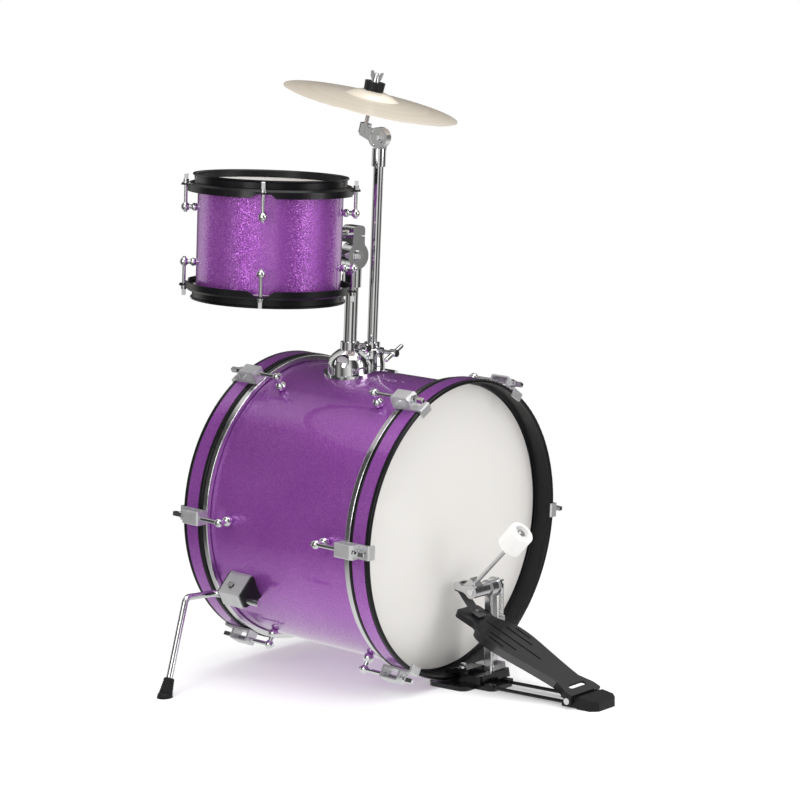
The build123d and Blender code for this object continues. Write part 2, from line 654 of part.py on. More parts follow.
with BuildPart() as tom_bracket:
    with BuildSketch(Plane.YZ.offset(TOM_REACH - TOM_R - 12)):
        with Locations((0, TOM_HEIGHT)):
            RectangleRounded(BRACKET_WIDTH, BRACKET_HEIGHT, 8)
    extrude(amount=24)
    with BuildSketch(Plane.XY.offset(TOM_HEIGHT)):
        with Locations((TOM_REACH, 0)):
            Circle(TOM_R + RUNNING + BRACKET_PLATE)
            Circle(TOM_R + RUNNING, mode=Mode.SUBTRACT)
    extrude(amount=BRACKET_HEIGHT, both=True, mode=Mode.INTERSECT)
    with BuildSketch(Plane.YZ.offset(TOM_REACH - TOM_R - BRACKET_BOSS)):
        with Locations((0, TOM_HEIGHT)):
            Circle(ARM_ROD_DIAMETER / 2 + 7)
    extrude(amount=BRACKET_BOSS - 1, taper=-6)
    with BuildSketch(Plane.YZ.offset(TOM_REACH - TOM_R - BRACKET_BOSS - 1)):
        with Locations((0, TOM_HEIGHT)):
            Circle(ARM_ROD_DIAMETER / 2 + RUNNING)
    extrude(amount=BRACKET_BOSS + 8, mode=Mode.SUBTRACT)
    with BuildSketch(Plane.XY.offset(TOM_HEIGHT)):
        with Locations((TOM_REACH, 0)):
            Circle(TOM_R + RUNNING)
    extrude(amount=BRACKET_HEIGHT, both=True, mode=Mode.SUBTRACT)
    for height in (-BRACKET_SCREW, BRACKET_SCREW):
        with Locations(Location((TOM_REACH - TOM_R, 0, TOM_HEIGHT + height), (0, 90, 0))):
            Cylinder(SCREW_DIAMETER / 2 + RUNNING, 12, mode=Mode.SUBTRACT)
save(tom_bracket, "tom_bracket", TOM)

TOM_SEAT = Location((TOM_REACH, 0, TOM_HEIGHT))
TOM_LUG_ANGLES = (45, 135, 225, 315)


def tom_seat(angle, side):
    """A seat on the tom: x straight out of the shell, z towards one of its heads."""
    a = radians(angle)
    return TOM_SEAT * Location(Plane(origin=(0, 0, 0), x_dir=(cos(a), sin(a), 0), z_dir=(0, 0, side)))


TOM_SEATS = [tom_seat(angle, side) for side in (1, -1) for angle in TOM_LUG_ANGLES]

with BuildPart() as tom_shell:
    with BuildSketch(Plane.XY.offset(TOM_HEIGHT)):
        with Locations((TOM_REACH, 0)):
            Circle(TOM_R)
            Circle(TOM_R - TOM_WALL, mode=Mode.SUBTRACT)
    extrude(amount=TOM_EDGE, both=True)
    with Locations(*[seat * Location((TOM_R, 0, TOM_LUG_HEIGHT), (0, 90, 0)) for seat in TOM_SEATS]):
        Cylinder(SCREW_DIAMETER / 2 + CLEAR, 3 * TOM_WALL, mode=Mode.SUBTRACT)
    for height in (-BRACKET_SCREW, BRACKET_SCREW):
        with Locations(Location((TOM_REACH - TOM_R, 0, TOM_HEIGHT + height), (0, 90, 0))):
            Cylinder(SCREW_DIAMETER / 2 + CLEAR, 3 * TOM_WALL, mode=Mode.SUBTRACT)
save(tom_shell, "tom_shell", TOM)

TOM_FILM_R = TOM_R + FILM_FIT + FILM
TOM_FLESH_R = TOM_FILM_R + 2.3
TOM_FLESH_TOP = TOM_EDGE - 1.5
TOM_FLESH_BOTTOM = TOM_EDGE - 7.0

tom_head = ring_profile(
    [
        (0, TOM_EDGE),
        (TOM_FILM_R - FILM, TOM_EDGE),
        (TOM_FILM_R - FILM, TOM_FLESH_BOTTOM),
        (TOM_FLESH_R, TOM_FLESH_BOTTOM),
        (TOM_FLESH_R, TOM_FLESH_TOP),
        (TOM_FILM_R, TOM_FLESH_TOP),
        (TOM_FILM_R, TOM_EDGE + FILM / 2),
        (TOM_FILM_R - FILM / 2, TOM_EDGE + FILM),
        (0, TOM_EDGE + FILM),
    ],
    Axis.Z,
)
UPRIGHT = Location((0, 0, 0))
TURNED_OVER = Location((0, 0, 0), (180, 0, 0))
save(repeated(tom_head, [TOM_SEAT * UPRIGHT]), "tom_batter_head", TOM)
save(repeated(tom_head, [TOM_SEAT * TURNED_OVER]), "tom_bottom_head", TOM)

TOM_HOOP_SHEET = 1.8
TOM_HOOP_WALL_R = TOM_FLESH_R + RUNNING + TOM_HOOP_SHEET
TOM_LIP_R = TOM_HOOP_WALL_R + 1.9
TOM_LIP_TOP = TOM_EDGE + 10.9
TOM_STEP = TOM_EDGE - 1.0
TOM_SKIRT_R = TOM_HOOP_WALL_R + 9.0
TOM_SKIRT_BOTTOM = TOM_EDGE - 13.0
EAR_HEIGHT = TOM_EDGE - 4.6
EAR_THICKNESS = 2.2
EAR_WIDTH = 17.0
EAR_R = TOM_LUG_RADIUS + 6.0
NOTCH_TOP = 19.0
NOTCH_WIDTH = 36.0


def flanged_hoop():
    """A pressed hoop: rolled lip, upright wall, step over the head's hoop, skirt and four ears."""
    outer = TOM_HOOP_WALL_R
    inner = TOM_HOOP_WALL_R - TOM_HOOP_SHEET
    skirt_inner = TOM_SKIRT_R - TOM_HOOP_SHEET
    with BuildPart() as hoop:
        with BuildSketch(Plane.XZ):
            with BuildLine():
                Polyline(
                    (inner, TOM_LIP_TOP - 1.5),
                    (inner + 1.2, TOM_LIP_TOP),
                    (TOM_LIP_R, TOM_LIP_TOP),
                    (TOM_LIP_R + 0.6, TOM_LIP_TOP - 1.2),
                    (TOM_LIP_R, TOM_LIP_TOP - 2.4),
                    (outer, TOM_LIP_TOP - 3.4),
                    (outer, TOM_STEP + 0.8),
                    (TOM_SKIRT_R - 2.4, TOM_STEP - 0.4),
                    (TOM_SKIRT_R, TOM_STEP - 3.2),
                    (TOM_SKIRT_R + 0.6, TOM_SKIRT_BOTTOM),
                    (skirt_inner + 0.2, TOM_SKIRT_BOTTOM),
                    (skirt_inner - 0.4, TOM_STEP - 3.6),
                    (skirt_inner - 2.2, TOM_STEP - 2.0),
                    (inner, TOM_STEP - 1.2),
                    close=True,
                )
            make_face()
        revolve(axis=Axis.Z)
        for angle in TOM_LUG_ANGLES:
            a = radians(angle)
            outward = Plane(origin=(0, 0, 0), x_dir=(-sin(a), cos(a), 0), z_dir=(cos(a), sin(a), 0))
            with BuildSketch(outward.offset(TOM_R + 5)):
                with BuildLine():
                    Polyline(
                        (-NOTCH_TOP / 2, EAR_HEIGHT - EAR_THICKNESS - 0.2),
                        (NOTCH_TOP / 2, EAR_HEIGHT - EAR_THICKNESS - 0.2),
                        (NOTCH_WIDTH / 2, TOM_SKIRT_BOTTOM - 0.5),
                        (-NOTCH_WIDTH / 2, TOM_SKIRT_BOTTOM - 0.5),
                        close=True,
                    )
                make_face()
            extrude(amount=26, mode=Mode.SUBTRACT)
        with BuildSketch(Plane.XY.offset(EAR_HEIGHT - EAR_THICKNESS)):
            with PolarLocations(0, 4, start_angle=TOM_LUG_ANGLES[0]):
                with Locations(((outer + EAR_R) / 2 + 1, 0)):
                    RectangleRounded(EAR_R - outer - 2, EAR_WIDTH, 3.5)
        extrude(amount=EAR_THICKNESS)
        with BuildSketch(Plane.XY.offset(EAR_HEIGHT + 1)):
            with PolarLocations(TOM_LUG_RADIUS, 4, start_angle=TOM_LUG_ANGLES[0]):
                Circle(TOM_ROD_DIAMETER / 2 + CLEAR)
        extrude(amount=-6, mode=Mode.SUBTRACT)
        with BuildSketch(Plane.XY.offset(EAR_HEIGHT)):
            with PolarLocations(TOM_LUG_RADIUS, 4, start_angle=TOM_LUG_ANGLES[0]):
                Circle(TOM_ROD_DIAMETER + LOOSE)
        extrude(amount=12, mode=Mode.SUBTRACT)
    return hoop


tom_hoop = flanged_hoop()
save(repeated(tom_hoop, [TOM_SEAT * UPRIGHT]), "tom_top_hoop", TOM)
save(repeated(tom_hoop, [TOM_SEAT * TURNED_OVER]), "tom_bottom_hoop", TOM)

TOM_LUG_BALL = 6.2
TOM_LUG_FOOT = 5.6
TOM_LUG_NECK = 3.2

tom_lug = ball_lug(TOM_R, TOM_LUG_RADIUS, TOM_LUG_FOOT, TOM_LUG_BALL, TOM_LUG_NECK, TOM_ROD_DIAMETER)
TOM_LUG_LINE = Location((0, 0, TOM_LUG_HEIGHT), (0, 90, 0))
save(repeated(tom_lug, [seat * TOM_LUG_LINE for seat in TOM_SEATS]), "tom_lugs", TOM)

tom_rod = key_rod(
    TOM_ROD_DIAMETER, EAR_HEIGHT, TOM_LUG_HEIGHT - TOM_LUG_BALL - 1, TOM_EDGE + 9.5, collar=4.0, square=5.0
)
ROD_UPRIGHT = Location((TOM_LUG_RADIUS, 0, 0), (0, -90, 0))
save(repeated(tom_rod, [seat * ROD_UPRIGHT for seat in TOM_SEATS]), "tom_tension_rods", TOM)

with BuildPart() as tom_lug_screw:
    with Locations(Location((TOM_R - TOM_WALL - SCREW_HEAD, 0, 0), (0, 90, 0))):
        Cylinder(SCREW_DIAMETER, SCREW_HEAD - CLEAR, align=(Align.CENTER, Align.CENTER, Align.MIN))
        Cylinder(
            SCREW_DIAMETER / 2, SCREW_HEAD + TOM_WALL + LUG_SCREW_DEPTH - LOOSE, align=(Align.CENTER, Align.CENTER, Align.MIN)
        )
LUG_SCREW_LINE = Location((0, 0, TOM_LUG_HEIGHT))
BRACKET_SCREW_SEATS = [tom_seat(180, side) * Location((0, 0, BRACKET_SCREW)) for side in (1, -1)]
save(
    repeated(tom_lug_screw, [seat * LUG_SCREW_LINE for seat in TOM_SEATS] + BRACKET_SCREW_SEATS),
    "tom_lug_screws",
    TOM,
)

# ---------------------------------------------------------------- cymbal tilter

CYMBAL_DISC_R = 15.0
CYMBAL_DISC_HALF = 7.0
ROD_FOOT_Y = CYMBAL_POST[1] + 24.0
ROD_FOOT_HEIGHT = CYMBAL_HINGE_HEIGHT + 12
x_post, y_post = CYMBAL_POST
# The tilter is drawn looking straight along the drum, then turned on its post.
TURNED = DRUM * Location((x_post, y_post, 0), (0, 0, CYMBAL_TURN)) * Location((-x_post, -y_post, 0))

with BuildPart() as cymbal_tilter_socket:
    with BuildSketch(Plane.XY.offset(CYMBAL_SOCKET_BOTTOM)):
        with Locations(CYMBAL_POST):
            Circle(CYMBAL_POST_DIAMETER / 2 + 2.8)
    extrude(amount=CYMBAL_HINGE_HEIGHT - CYMBAL_DISC_R - LOOSE - CYMBAL_SOCKET_BOTTOM)
    with BuildSketch(Plane.YZ.offset(x_post + DISC_GAP / 2)):
        with Locations((y_post, CYMBAL_HINGE_HEIGHT)):
            Circle(CYMBAL_DISC_R)
        with Locations((y_post, CYMBAL_HINGE_HEIGHT - CYMBAL_DISC_R)):
            Rectangle(16, 8)
    extrude(amount=CYMBAL_DISC_HALF)
    with BuildSketch(Plane.XY.offset(CYMBAL_SOCKET_BOTTOM - 1)):
        with Locations(CYMBAL_POST):
            Circle(CYMBAL_POST_DIAMETER / 2 + RUNNING)
    extrude(amount=CYMBAL_SOCKET_TOP - CYMBAL_SOCKET_BOTTOM - 3, mode=Mode.SUBTRACT)
    with BuildSketch(Plane.YZ.offset(x_post)):
        with Locations((y_post, CYMBAL_HINGE_HEIGHT)):
            Circle(HAND_BOLT_DIAMETER / 2 + RUNNING)
    extrude(amount=20, mode=Mode.SUBTRACT)
save(cymbal_tilter_socket, "cymbal_tilter_socket", TURNED)

CYMBAL_ARM_BLOCK = 15.0
ROD_AXIS = (0, -sin(radians(CYMBAL_LEAN)), cos(radians(CYMBAL_LEAN)))
ROD_PLANE = Plane(origin=(x_post, ROD_FOOT_Y, ROD_FOOT_HEIGHT), x_dir=(1, 0, 0), z_dir=ROD_AXIS)
ROD_FOOT = TURNED * Location(ROD_PLANE)

with BuildPart() as cymbal_tilter_arm:
    with BuildSketch(Plane.YZ.offset(x_post - DISC_GAP / 2)):
        with Locations((y_post, CYMBAL_HINGE_HEIGHT)):
            Circle(CYMBAL_DISC_R)
        with BuildLine():
            Polyline(
                (y_post, CYMBAL_HINGE_HEIGHT + 11),
                (ROD_FOOT_Y, ROD_FOOT_HEIGHT + 3),
                (ROD_FOOT_Y + 6, ROD_FOOT_HEIGHT - 9),
                (y_post + 3, CYMBAL_HINGE_HEIGHT - 10),
                close=True,
            )
        make_face()
    extrude(amount=-CYMBAL_DISC_HALF)
    with BuildSketch(ROD_PLANE.offset(-CYMBAL_ARM_BLOCK / 2)):
        RectangleRounded(CYMBAL_ARM_BLOCK, CYMBAL_ARM_BLOCK - 1, 3)
    extrude(amount=CYMBAL_ARM_BLOCK)
    with BuildSketch(ROD_PLANE.offset(-CYMBAL_ARM_BLOCK / 2 - 1)):
        Circle(CYMBAL_ROD_DIAMETER / 2 + RUNNING)
    extrude(amount=CYMBAL_ARM_BLOCK + 2, mode=Mode.SUBTRACT)
    with BuildSketch(Plane.YZ.offset(x_post)):
        with Locations((y_post, CYMBAL_HINGE_HEIGHT)):
            Circle(HAND_BOLT_DIAMETER / 2 + CLEAR)
    extrude(amount=-20, mode=Mode.SUBTRACT)
    with BuildSketch(Plane.YZ.offset(x_post - DISC_GAP / 2 - CYMBAL_DISC_HALF)):
        with Locations((y_post, CYMBAL_HINGE_HEIGHT)):
            Circle(CYMBAL_DISC_R - 3)
            Circle(CYMBAL_DISC_R - 6, mode=Mode.SUBTRACT)
    extrude(amount=1.2, mode=Mode.SUBTRACT)
save(cymbal_tilter_arm, "cymbal_tilter_arm", TURNED)

with BuildPart() as cymbal_tilter_bolt:
    with BuildSketch(Plane.YZ.offset(x_post - DISC_GAP / 2 - CYMBAL_DISC_HALF - CLEAR)):
        with Locations((y_post, CYMBAL_HINGE_HEIGHT)):
            Circle(HAND_BOLT_DIAMETER / 2)
    extrude(amount=2 * CYMBAL_DISC_HALF + 1)
    with BuildSketch(Plane.YZ.offset(x_post - DISC_GAP / 2 - CYMBAL_DISC_HALF - CLEAR)):
        with Locations((y_post, CYMBAL_HINGE_HEIGHT)):
            Circle(HAND_BOLT_DIAMETER * 0.8)
    extrude(amount=-3)
    with BuildSketch(Plane.YZ.offset(x_post - CYMBAL_DISC_HALF - 3)):
        with Locations((y_post, CYMBAL_HINGE_HEIGHT)):
            Rectangle(KEY_SQUARE, KEY_SQUARE)
    extrude(amount=-5)
save(cymbal_tilter_bolt, "cymbal_tilter_bolt", TURNED)

# ---------------------------------------------------------------- cymbal, drawn from its rod's foot
# Here z runs up the leaning rod, and RIM is the height of the cymbal's rim on it.

RIM = (CYMBAL_RIM_HEIGHT - ROD_FOOT_HEIGHT) / cos(radians(CYMBAL_LEAN))
BELL_TOP = RIM + BOW_HEIGHT + BELL_HEIGHT
BELL_UNDER = BELL_TOP - CYMBAL_THICKNESS
FELT_HEIGHT = 8.0
FELT_R = 10.0
SHOULDER = 2.0
SLEEVE_DIAMETER = 28.5
SLEEVE_HEIGHT = 12.0
NUT_HEIGHT = 8.0
NUT_WING_TOP = 15.0
CYMBAL_HOLE_R = 5.5

with BuildPart() as cymbal_rod:
    with Locations((0, 0, -CYMBAL_ARM_BLOCK / 2)):
        Cylinder(
            CYMBAL_ROD_DIAMETER / 2,
            BELL_TOP + SLEEVE_HEIGHT + NUT_HEIGHT + 5 + CYMBAL_ARM_BLOCK / 2,
            align=(Align.CENTER, Align.CENTER, Align.MIN),
        )
    with Locations((0, 0, BELL_UNDER - CLEAR - FELT_HEIGHT - RUNNING - SHOULDER)):
        Cylinder(FELT_R - 1, SHOULDER, align=(Align.CENTER, Align.CENTER, Align.MIN))
    chamfer(cymbal_rod.faces().sort_by(Axis.Z)[-1].edges(), 0.8)
save(cymbal_rod, "cymbal_rod", ROD_FOOT)

with BuildPart() as cymbal_lower_felt:
    with Locations((0, 0, BELL_UNDER - CLEAR - FELT_HEIGHT)):
        Cylinder(FELT_R, FELT_HEIGHT, align=(Align.CENTER, Align.CENTER, Align.MIN))
        Cylinder(
            CYMBAL_ROD_DIAMETER / 2 + RUNNING,
            FELT_HEIGHT,
            align=(Align.CENTER, Align.CENTER, Align.MIN),
            mode=Mode.SUBTRACT,
        )
save(cymbal_lower_felt, "cymbal_lower_felt", ROD_FOOT)

CYMBAL_R = CYMBAL_DIAMETER / 2
BELL_R = BELL_DIAMETER / 2
with BuildPart() as cymbal:
    with BuildSketch(Plane.XZ):
        with BuildLine():
            bow_over = Spline(
                (CYMBAL_R, RIM + CYMBAL_THICKNESS),
                ((CYMBAL_R + BELL_R) / 2, RIM + BOW_HEIGHT * 0.62),
                (BELL_R, RIM + BOW_HEIGHT),
            )
            bell_over = Spline(
                (BELL_R, RIM + BOW_HEIGHT),
                (BELL_R * 0.78, RIM + BOW_HEIGHT + BELL_HEIGHT * 0.42),
                (BELL_R * 0.42, RIM + BOW_HEIGHT + BELL_HEIGHT * 0.88),
                (CYMBAL_HOLE_R, BELL_TOP),
                tangents=[(-1, 0.35), (-1, 0)],
            )
            Line((CYMBAL_HOLE_R, BELL_TOP), (CYMBAL_HOLE_R, BELL_UNDER))
            bell_under = Spline(
                (CYMBAL_HOLE_R, BELL_UNDER),
                (BELL_R * 0.42, BELL_UNDER - BELL_HEIGHT * 0.12),
                (BELL_R * 0.78, BELL_UNDER - BELL_HEIGHT * 0.58),
                (BELL_R, RIM + BOW_HEIGHT - CYMBAL_THICKNESS),
                tangents=[(1, 0), (1, -0.35)],
            )
            bow_under = Spline(
                (BELL_R, RIM + BOW_HEIGHT - CYMBAL_THICKNESS),
                ((CYMBAL_R + BELL_R) / 2, RIM + BOW_HEIGHT * 0.62 - CYMBAL_THICKNESS),
                (CYMBAL_R, RIM),
            )
            Line((CYMBAL_R, RIM), (CYMBAL_R, RIM + CYMBAL_THICKNESS))
        make_face()
    revolve(axis=Axis.Z)
save(cymbal, "cymbal", ROD_FOOT)

SLEEVE_BOTTOM = BELL_TOP + CLEAR
with BuildPart() as cymbal_upper_sleeve:
    with Locations((0, 0, SLEEVE_BOTTOM)):
        Cone(
            SLEEVE_DIAMETER / 2,
            SLEEVE_DIAMETER / 2 + 0.6,
            SLEEVE_HEIGHT,
            align=(Align.CENTER, Align.CENTER, Align.MIN),
        )
        Cylinder(
            CYMBAL_ROD_DIAMETER / 2 + RUNNING,
            SLEEVE_HEIGHT,
            align=(Align.CENTER, Align.CENTER, Align.MIN),
            mode=Mode.SUBTRACT,
        )
save(cymbal_upper_sleeve, "cymbal_upper_sleeve", ROD_FOOT)

NUT_BOTTOM = SLEEVE_BOTTOM + SLEEVE_HEIGHT + CLEAR
NUT_R = 5.6
with BuildPart() as cymbal_wing_nut:
    with Locations((0, 0, NUT_BOTTOM)):
        Cone(NUT_R, NUT_R - 1.2, NUT_HEIGHT, align=(Align.CENTER, Align.CENTER, Align.MIN))
    for side in (-1, 1):
        with BuildSketch(Plane.YZ):
            with BuildLine():
                Polyline(
                    (side * (NUT_R - 2.5), NUT_BOTTOM + 1.5),
                    (side * (NUT_R - 2.5), NUT_BOTTOM + NUT_HEIGHT - 1),
                    (side * (NUT_R + 0.5), NUT_BOTTOM + NUT_WING_TOP - 1.5),
                    (side * (NUT_R + 3.0), NUT_BOTTOM + NUT_WING_TOP),
                    (side * (NUT_R + 4.4), NUT_BOTTOM + NUT_WING_TOP - 2.0),
                    (side * (NUT_R + 3.4), NUT_BOTTOM + 6.5),
                    (side * NUT_R, NUT_BOTTOM + 1.5),
                    close=True,
                )
            make_face()
        extrude(amount=1.4, both=True)
    with Locations((0, 0, NUT_BOTTOM)):
        Cylinder(
            CYMBAL_ROD_DIAMETER / 2 + RUNNING,
            NUT_WING_TOP,
            align=(Align.CENTER, Align.CENTER, Align.MIN),
            mode=Mode.SUBTRACT,
        )
save(cymbal_wing_nut, "cymbal_wing_nut", ROD_FOOT)

# ---------------------------------------------------------------- spurs
# Here x runs along the drum, z straight out of the shell at the spur, and y down round the shell.

SPUR_SEAT = drum_seat(SPUR_ANGLE, 1)
ROD_SWING = radians(SPUR_ROD_ANGLE - SPUR_ANGLE)
SPUR_ROD_Y = SPUR_ROD_RADIUS * sin(ROD_SWING)
SPUR_ROD_Z = SPUR_ROD_RADIUS * cos(ROD_SWING)
BLOCK_TOP = SPUR_ROD_Z + SPUR_ROD_DIAMETER / 2 + 3.5
BLOCK_HALF = 24.0
SADDLE = 2.4
SADDLE_LENGTH = SPUR_BLOCK_LENGTH - 8
BLOCK_MIDDLE = SPUR_BLOCK_FROM + SPUR_BLOCK_LENGTH / 2
BLOCK_LOW = BASS_R - 8


def block_outline(grow):
    """The spur block's section round the shell, grown by a skin's thickness."""
    return [
        (-13 - grow, BLOCK_LOW),
        (-11.5 - grow, BASS_R + 4),
        (-1.5 - grow * 0.6, BLOCK_TOP + grow),
        (SPUR_ROD_Y + 7 + grow * 0.5, BLOCK_TOP - 1.5 + grow),
        (BLOCK_HALF - 1 + grow, BASS_R + 14),
        (BLOCK_HALF + grow, BLOCK_LOW),
    ]


def spur_bore(clearance):
    """The rod's bore through the block, cut from whichever piece is being made."""
    with Locations(Location((BLOCK_MIDDLE, SPUR_ROD_Y, SPUR_ROD_Z), (0, 90, 0))):
        Cylinder(SPUR_ROD_DIAMETER / 2 + clearance, 2 * SPUR_BLOCK_LENGTH, mode=Mode.SUBTRACT)


def clear_of_shell():
    """Cut the piece being made back to the bass drum's shell."""
    with Locations(Location((0, 0, 0), (0, 90, 0))):
        Cylinder(BASS_R + RUNNING, 3 * BASS_LENGTH, mode=Mode.SUBTRACT)


# The key screw goes in through the saddle's upper slope, square to it.
SCREW_PLANE = Plane(origin=(BLOCK_MIDDLE, -5, BLOCK_TOP - 10), x_dir=(1, 0, 0), z_dir=(0, -0.945, 0.326))
SCREW_SEAT = SADDLE + 1.0
with BuildPart() as spur_block:
    with BuildSketch(Plane.YZ.offset(SPUR_BLOCK_FROM)):
        with BuildLine():
            Polyline(*block_outline(0), close=True)
        make_face()
    extrude(amount=SPUR_BLOCK_LENGTH)
    clear_of_shell()
    spur_bore(RUNNING)
    with BuildSketch(SCREW_PLANE.offset(8)):
        Circle(HAND_BOLT_DIAMETER / 2 + RUNNING)
    extrude(amount=-18, mode=Mode.SUBTRACT)

with BuildPart() as spur_saddle:
    with BuildSketch(Plane.YZ.offset(BLOCK_MIDDLE - SADDLE_LENGTH / 2)):
        with BuildLine():
            Polyline(*block_outline(SADDLE), close=True)
        make_face()
        with BuildLine():
            Polyline(*block_outline(RUNNING), close=True)
        make_face(mode=Mode.SUBTRACT)
    extrude(amount=SADDLE_LENGTH)
    clear_of_shell()
    with BuildSketch(SCREW_PLANE.offset(8)):
        Circle(HAND_BOLT_DIAMETER / 2 + CLEAR)
    extrude(amount=-12, mode=Mode.SUBTRACT)

with BuildPart() as spur_screw:
    with BuildSketch(SCREW_PLANE.offset(SCREW_SEAT)):
        Circle(HAND_BOLT_DIAMETER * 0.9)
    extrude(amount=2)
    with BuildSketch(SCREW_PLANE.offset(SCREW_SEAT + 1)):
        Rectangle(KEY_SQUARE, KEY_SQUARE)
    extrude(amount=6)
    with BuildSketch(SCREW_PLANE.offset(SCREW_SEAT + 1)):
        Circle(HAND_BOLT_DIAMETER / 2)
    extrude(amount=-SCREW_SEAT - 10)


def both_sides(piece):
    """A left-hand piece on its seat, and its mirror image on the drum's right."""
    with BuildPart() as pair:
        with Locations(SPUR_SEAT):
            add(piece.part)
        mirror(about=Plane.YZ)
    return pair


save(both_sides(spur_block), "spur_bracket_pads", DRUM)
save(both_sides(spur_saddle), "spur_brackets", DRUM)
save(both_sides(spur_screw), "spur_lock_screws", DRUM)

SPUR_BEND = 11.0
FOOT_TOP_R = 7.5
FOOT_BOTTOM_R = 11.0
FOOT_HEIGHT = 27.0
ROD_IN_FOOT = 18.0
ROD_X = -SPUR_ROD_RADIUS * cos(radians(SPUR_ROD_ANGLE - 180))
ROD_Z = -SPUR_ROD_RADIUS * sin(radians(SPUR_ROD_ANGLE - 180))
# The height, square to the drum, at which the foot meets the floor.
FOOT_Z = -(SHELL_HEIGHT + SPUR_FOOT_Y * TILT_SIN) / TILT_COS
ELBOW = Vector(-SPUR_ELBOW_X, SPUR_ELBOW_Y, SPUR_ELBOW_Z)
FOOT = Vector(-SPUR_FOOT_X, SPUR_FOOT_Y, FOOT_Z)
LEG = (FOOT - ELBOW).normalized()
LEG_END = FOOT - LEG * (FOOT_HEIGHT - ROD_IN_FOOT)
FOOT_PLANE = Plane(origin=(FOOT.X, FOOT.Y, FOOT.Z), z_dir=(-LEG.X, -LEG.Y, -LEG.Z))

with BuildPart() as left_spur_rod:
    with BuildLine() as spur_line:
        FilletPolyline(
            (ROD_X, SPUR_ROD_END_Y, ROD_Z),
            (ROD_X, SPUR_ELBOW_Y, ROD_Z),
            (ELBOW.X, ELBOW.Y, ELBOW.Z),
            (LEG_END.X, LEG_END.Y, LEG_END.Z),
            radius=SPUR_BEND,
        )
    with BuildSketch(Plane(origin=(ROD_X, SPUR_ROD_END_Y, ROD_Z), z_dir=(0, 1, 0))):
        Circle(SPUR_ROD_DIAMETER / 2)
    sweep(path=spur_line.line)

# The floor, as seen from the tipped drum.
FLOOR_PLANE = Plane(
    origin=(0, -SHELL_HEIGHT * TILT_SIN, -SHELL_HEIGHT * TILT_COS), x_dir=(1, 0, 0), z_dir=(0, TILT_SIN, TILT_COS)
)
SPREAD = (FOOT_BOTTOM_R - FOOT_TOP_R) / FOOT_HEIGHT
FOOT_BELOW = 8.0

with BuildPart() as left_spur_foot:
    with BuildSketch(FOOT_PLANE.offset(FOOT_HEIGHT)):
        Circle(FOOT_TOP_R)
    with BuildSketch(FOOT_PLANE.offset(-FOOT_BELOW)):
        Circle(FOOT_BOTTOM_R + SPREAD * FOOT_BELOW)
    loft()
    with BuildSketch(FLOOR_PLANE):
        with Locations((FOOT.X, FOOT.Y + SHELL_HEIGHT * TILT_SIN)):
            Rectangle(80, 80)
    extrude(amount=-40, mode=Mode.SUBTRACT)
    with BuildSketch(FOOT_PLANE.offset(FOOT_HEIGHT + 1)):
        Circle(SPUR_ROD_DIAMETER / 2 + RUNNING)
    extrude(amount=-ROD_IN_FOOT - 2, mode=Mode.SUBTRACT)


def mirrored(piece):
    """The mirror image of a left-hand piece."""
    with BuildPart() as other:
        mirror(piece.part, about=Plane.YZ)
    return other


right_spur_rod = mirrored(left_spur_rod)
right_spur_foot = mirrored(left_spur_foot)
save(left_spur_rod, "left_spur_rod", DRUM)
save(left_spur_foot, "left_spur_foot", DRUM)
save(right_spur_rod, "right_spur_rod", DRUM)
save(right_spur_foot, "right_spur_foot", DRUM)

# ---------------------------------------------------------------- pedal base, post and heel

BASE_FRONT = -134.0
BASE_BACK = -201.0
BASE_HALF = 51.0
TAIL_BACK = -232.0
TAIL_HALF = 26.0
DECK_TOP = 17.5
CONNECTOR_DIAMETER = 5.0
CONNECTOR_SPREAD = 20.0
CONNECTOR_HEIGHT = 5.0
CONNECTOR_GRIP = 12.0
TONGUE_FRONT = PIN_Y + 14.0
CONNECTOR_X = (PEDAL_X - CONNECTOR_SPREAD, PEDAL_X + CONNECTOR_SPREAD)

with BuildPart() as pedal_base:
    with BuildSketch(Plane.XY):
        with Locations((PEDAL_X, (BASE_FRONT + BASE_BACK) / 2)):
            RectangleRounded(2 * BASE_HALF, BASE_FRONT - BASE_BACK, 12)
        with Locations((PEDAL_X, (BASE_BACK + TAIL_BACK) / 2 + 10)):
            RectangleRounded(2 * TAIL_HALF, BASE_BACK - TAIL_BACK + 20, 9)
    extrude(amount=BASE_THICKNESS)
    with BuildSketch(Plane.XY.offset(BASE_THICKNESS)):
        with Locations((PEDAL_X + 12, -189)):
            RectangleRounded(76, 42, 8)
    extrude(amount=DECK_TOP - BASE_THICKNESS, taper=8)
    with BuildSketch(Plane.XY.offset(BASE_THICKNESS)):
        with Locations(*[(x, TAIL_BACK + 9) for x in CONNECTOR_X]):
            RectangleRounded(10, 16, 2)
    extrude(amount=3.5)
    with BuildSketch(Plane.XZ.offset(-TAIL_BACK + 1)):
        with Locations(*[(x, CONNECTOR_HEIGHT) for x in CONNECTOR_X]):
            Circle(CONNECTOR_DIAMETER / 2 + RUNNING)
    extrude(amount=-CONNECTOR_GRIP - 1, mode=Mode.SUBTRACT)
save(pedal_base, "pedal_base", FLOOR)

JAW_WIDTH = 34.0
JAW_X = PEDAL_X - 6.0
CLAMP_X = PEDAL_X - 18.0
CLAMP_Y = -174.0
HOOP_INNER_BOTTOM = SHELL_HEIGHT - HOOP_INNER_R * TILT_COS - HOOP_FACE * TILT_SIN
HOOP_BOTTOM_Y = -HOOP_FACE * TILT_COS + HOOP_R * TILT_SIN
JAW_LIP = HOOP_INNER_BOTTOM + 1.8
JAW_TOP = DECK_TOP + 7.0

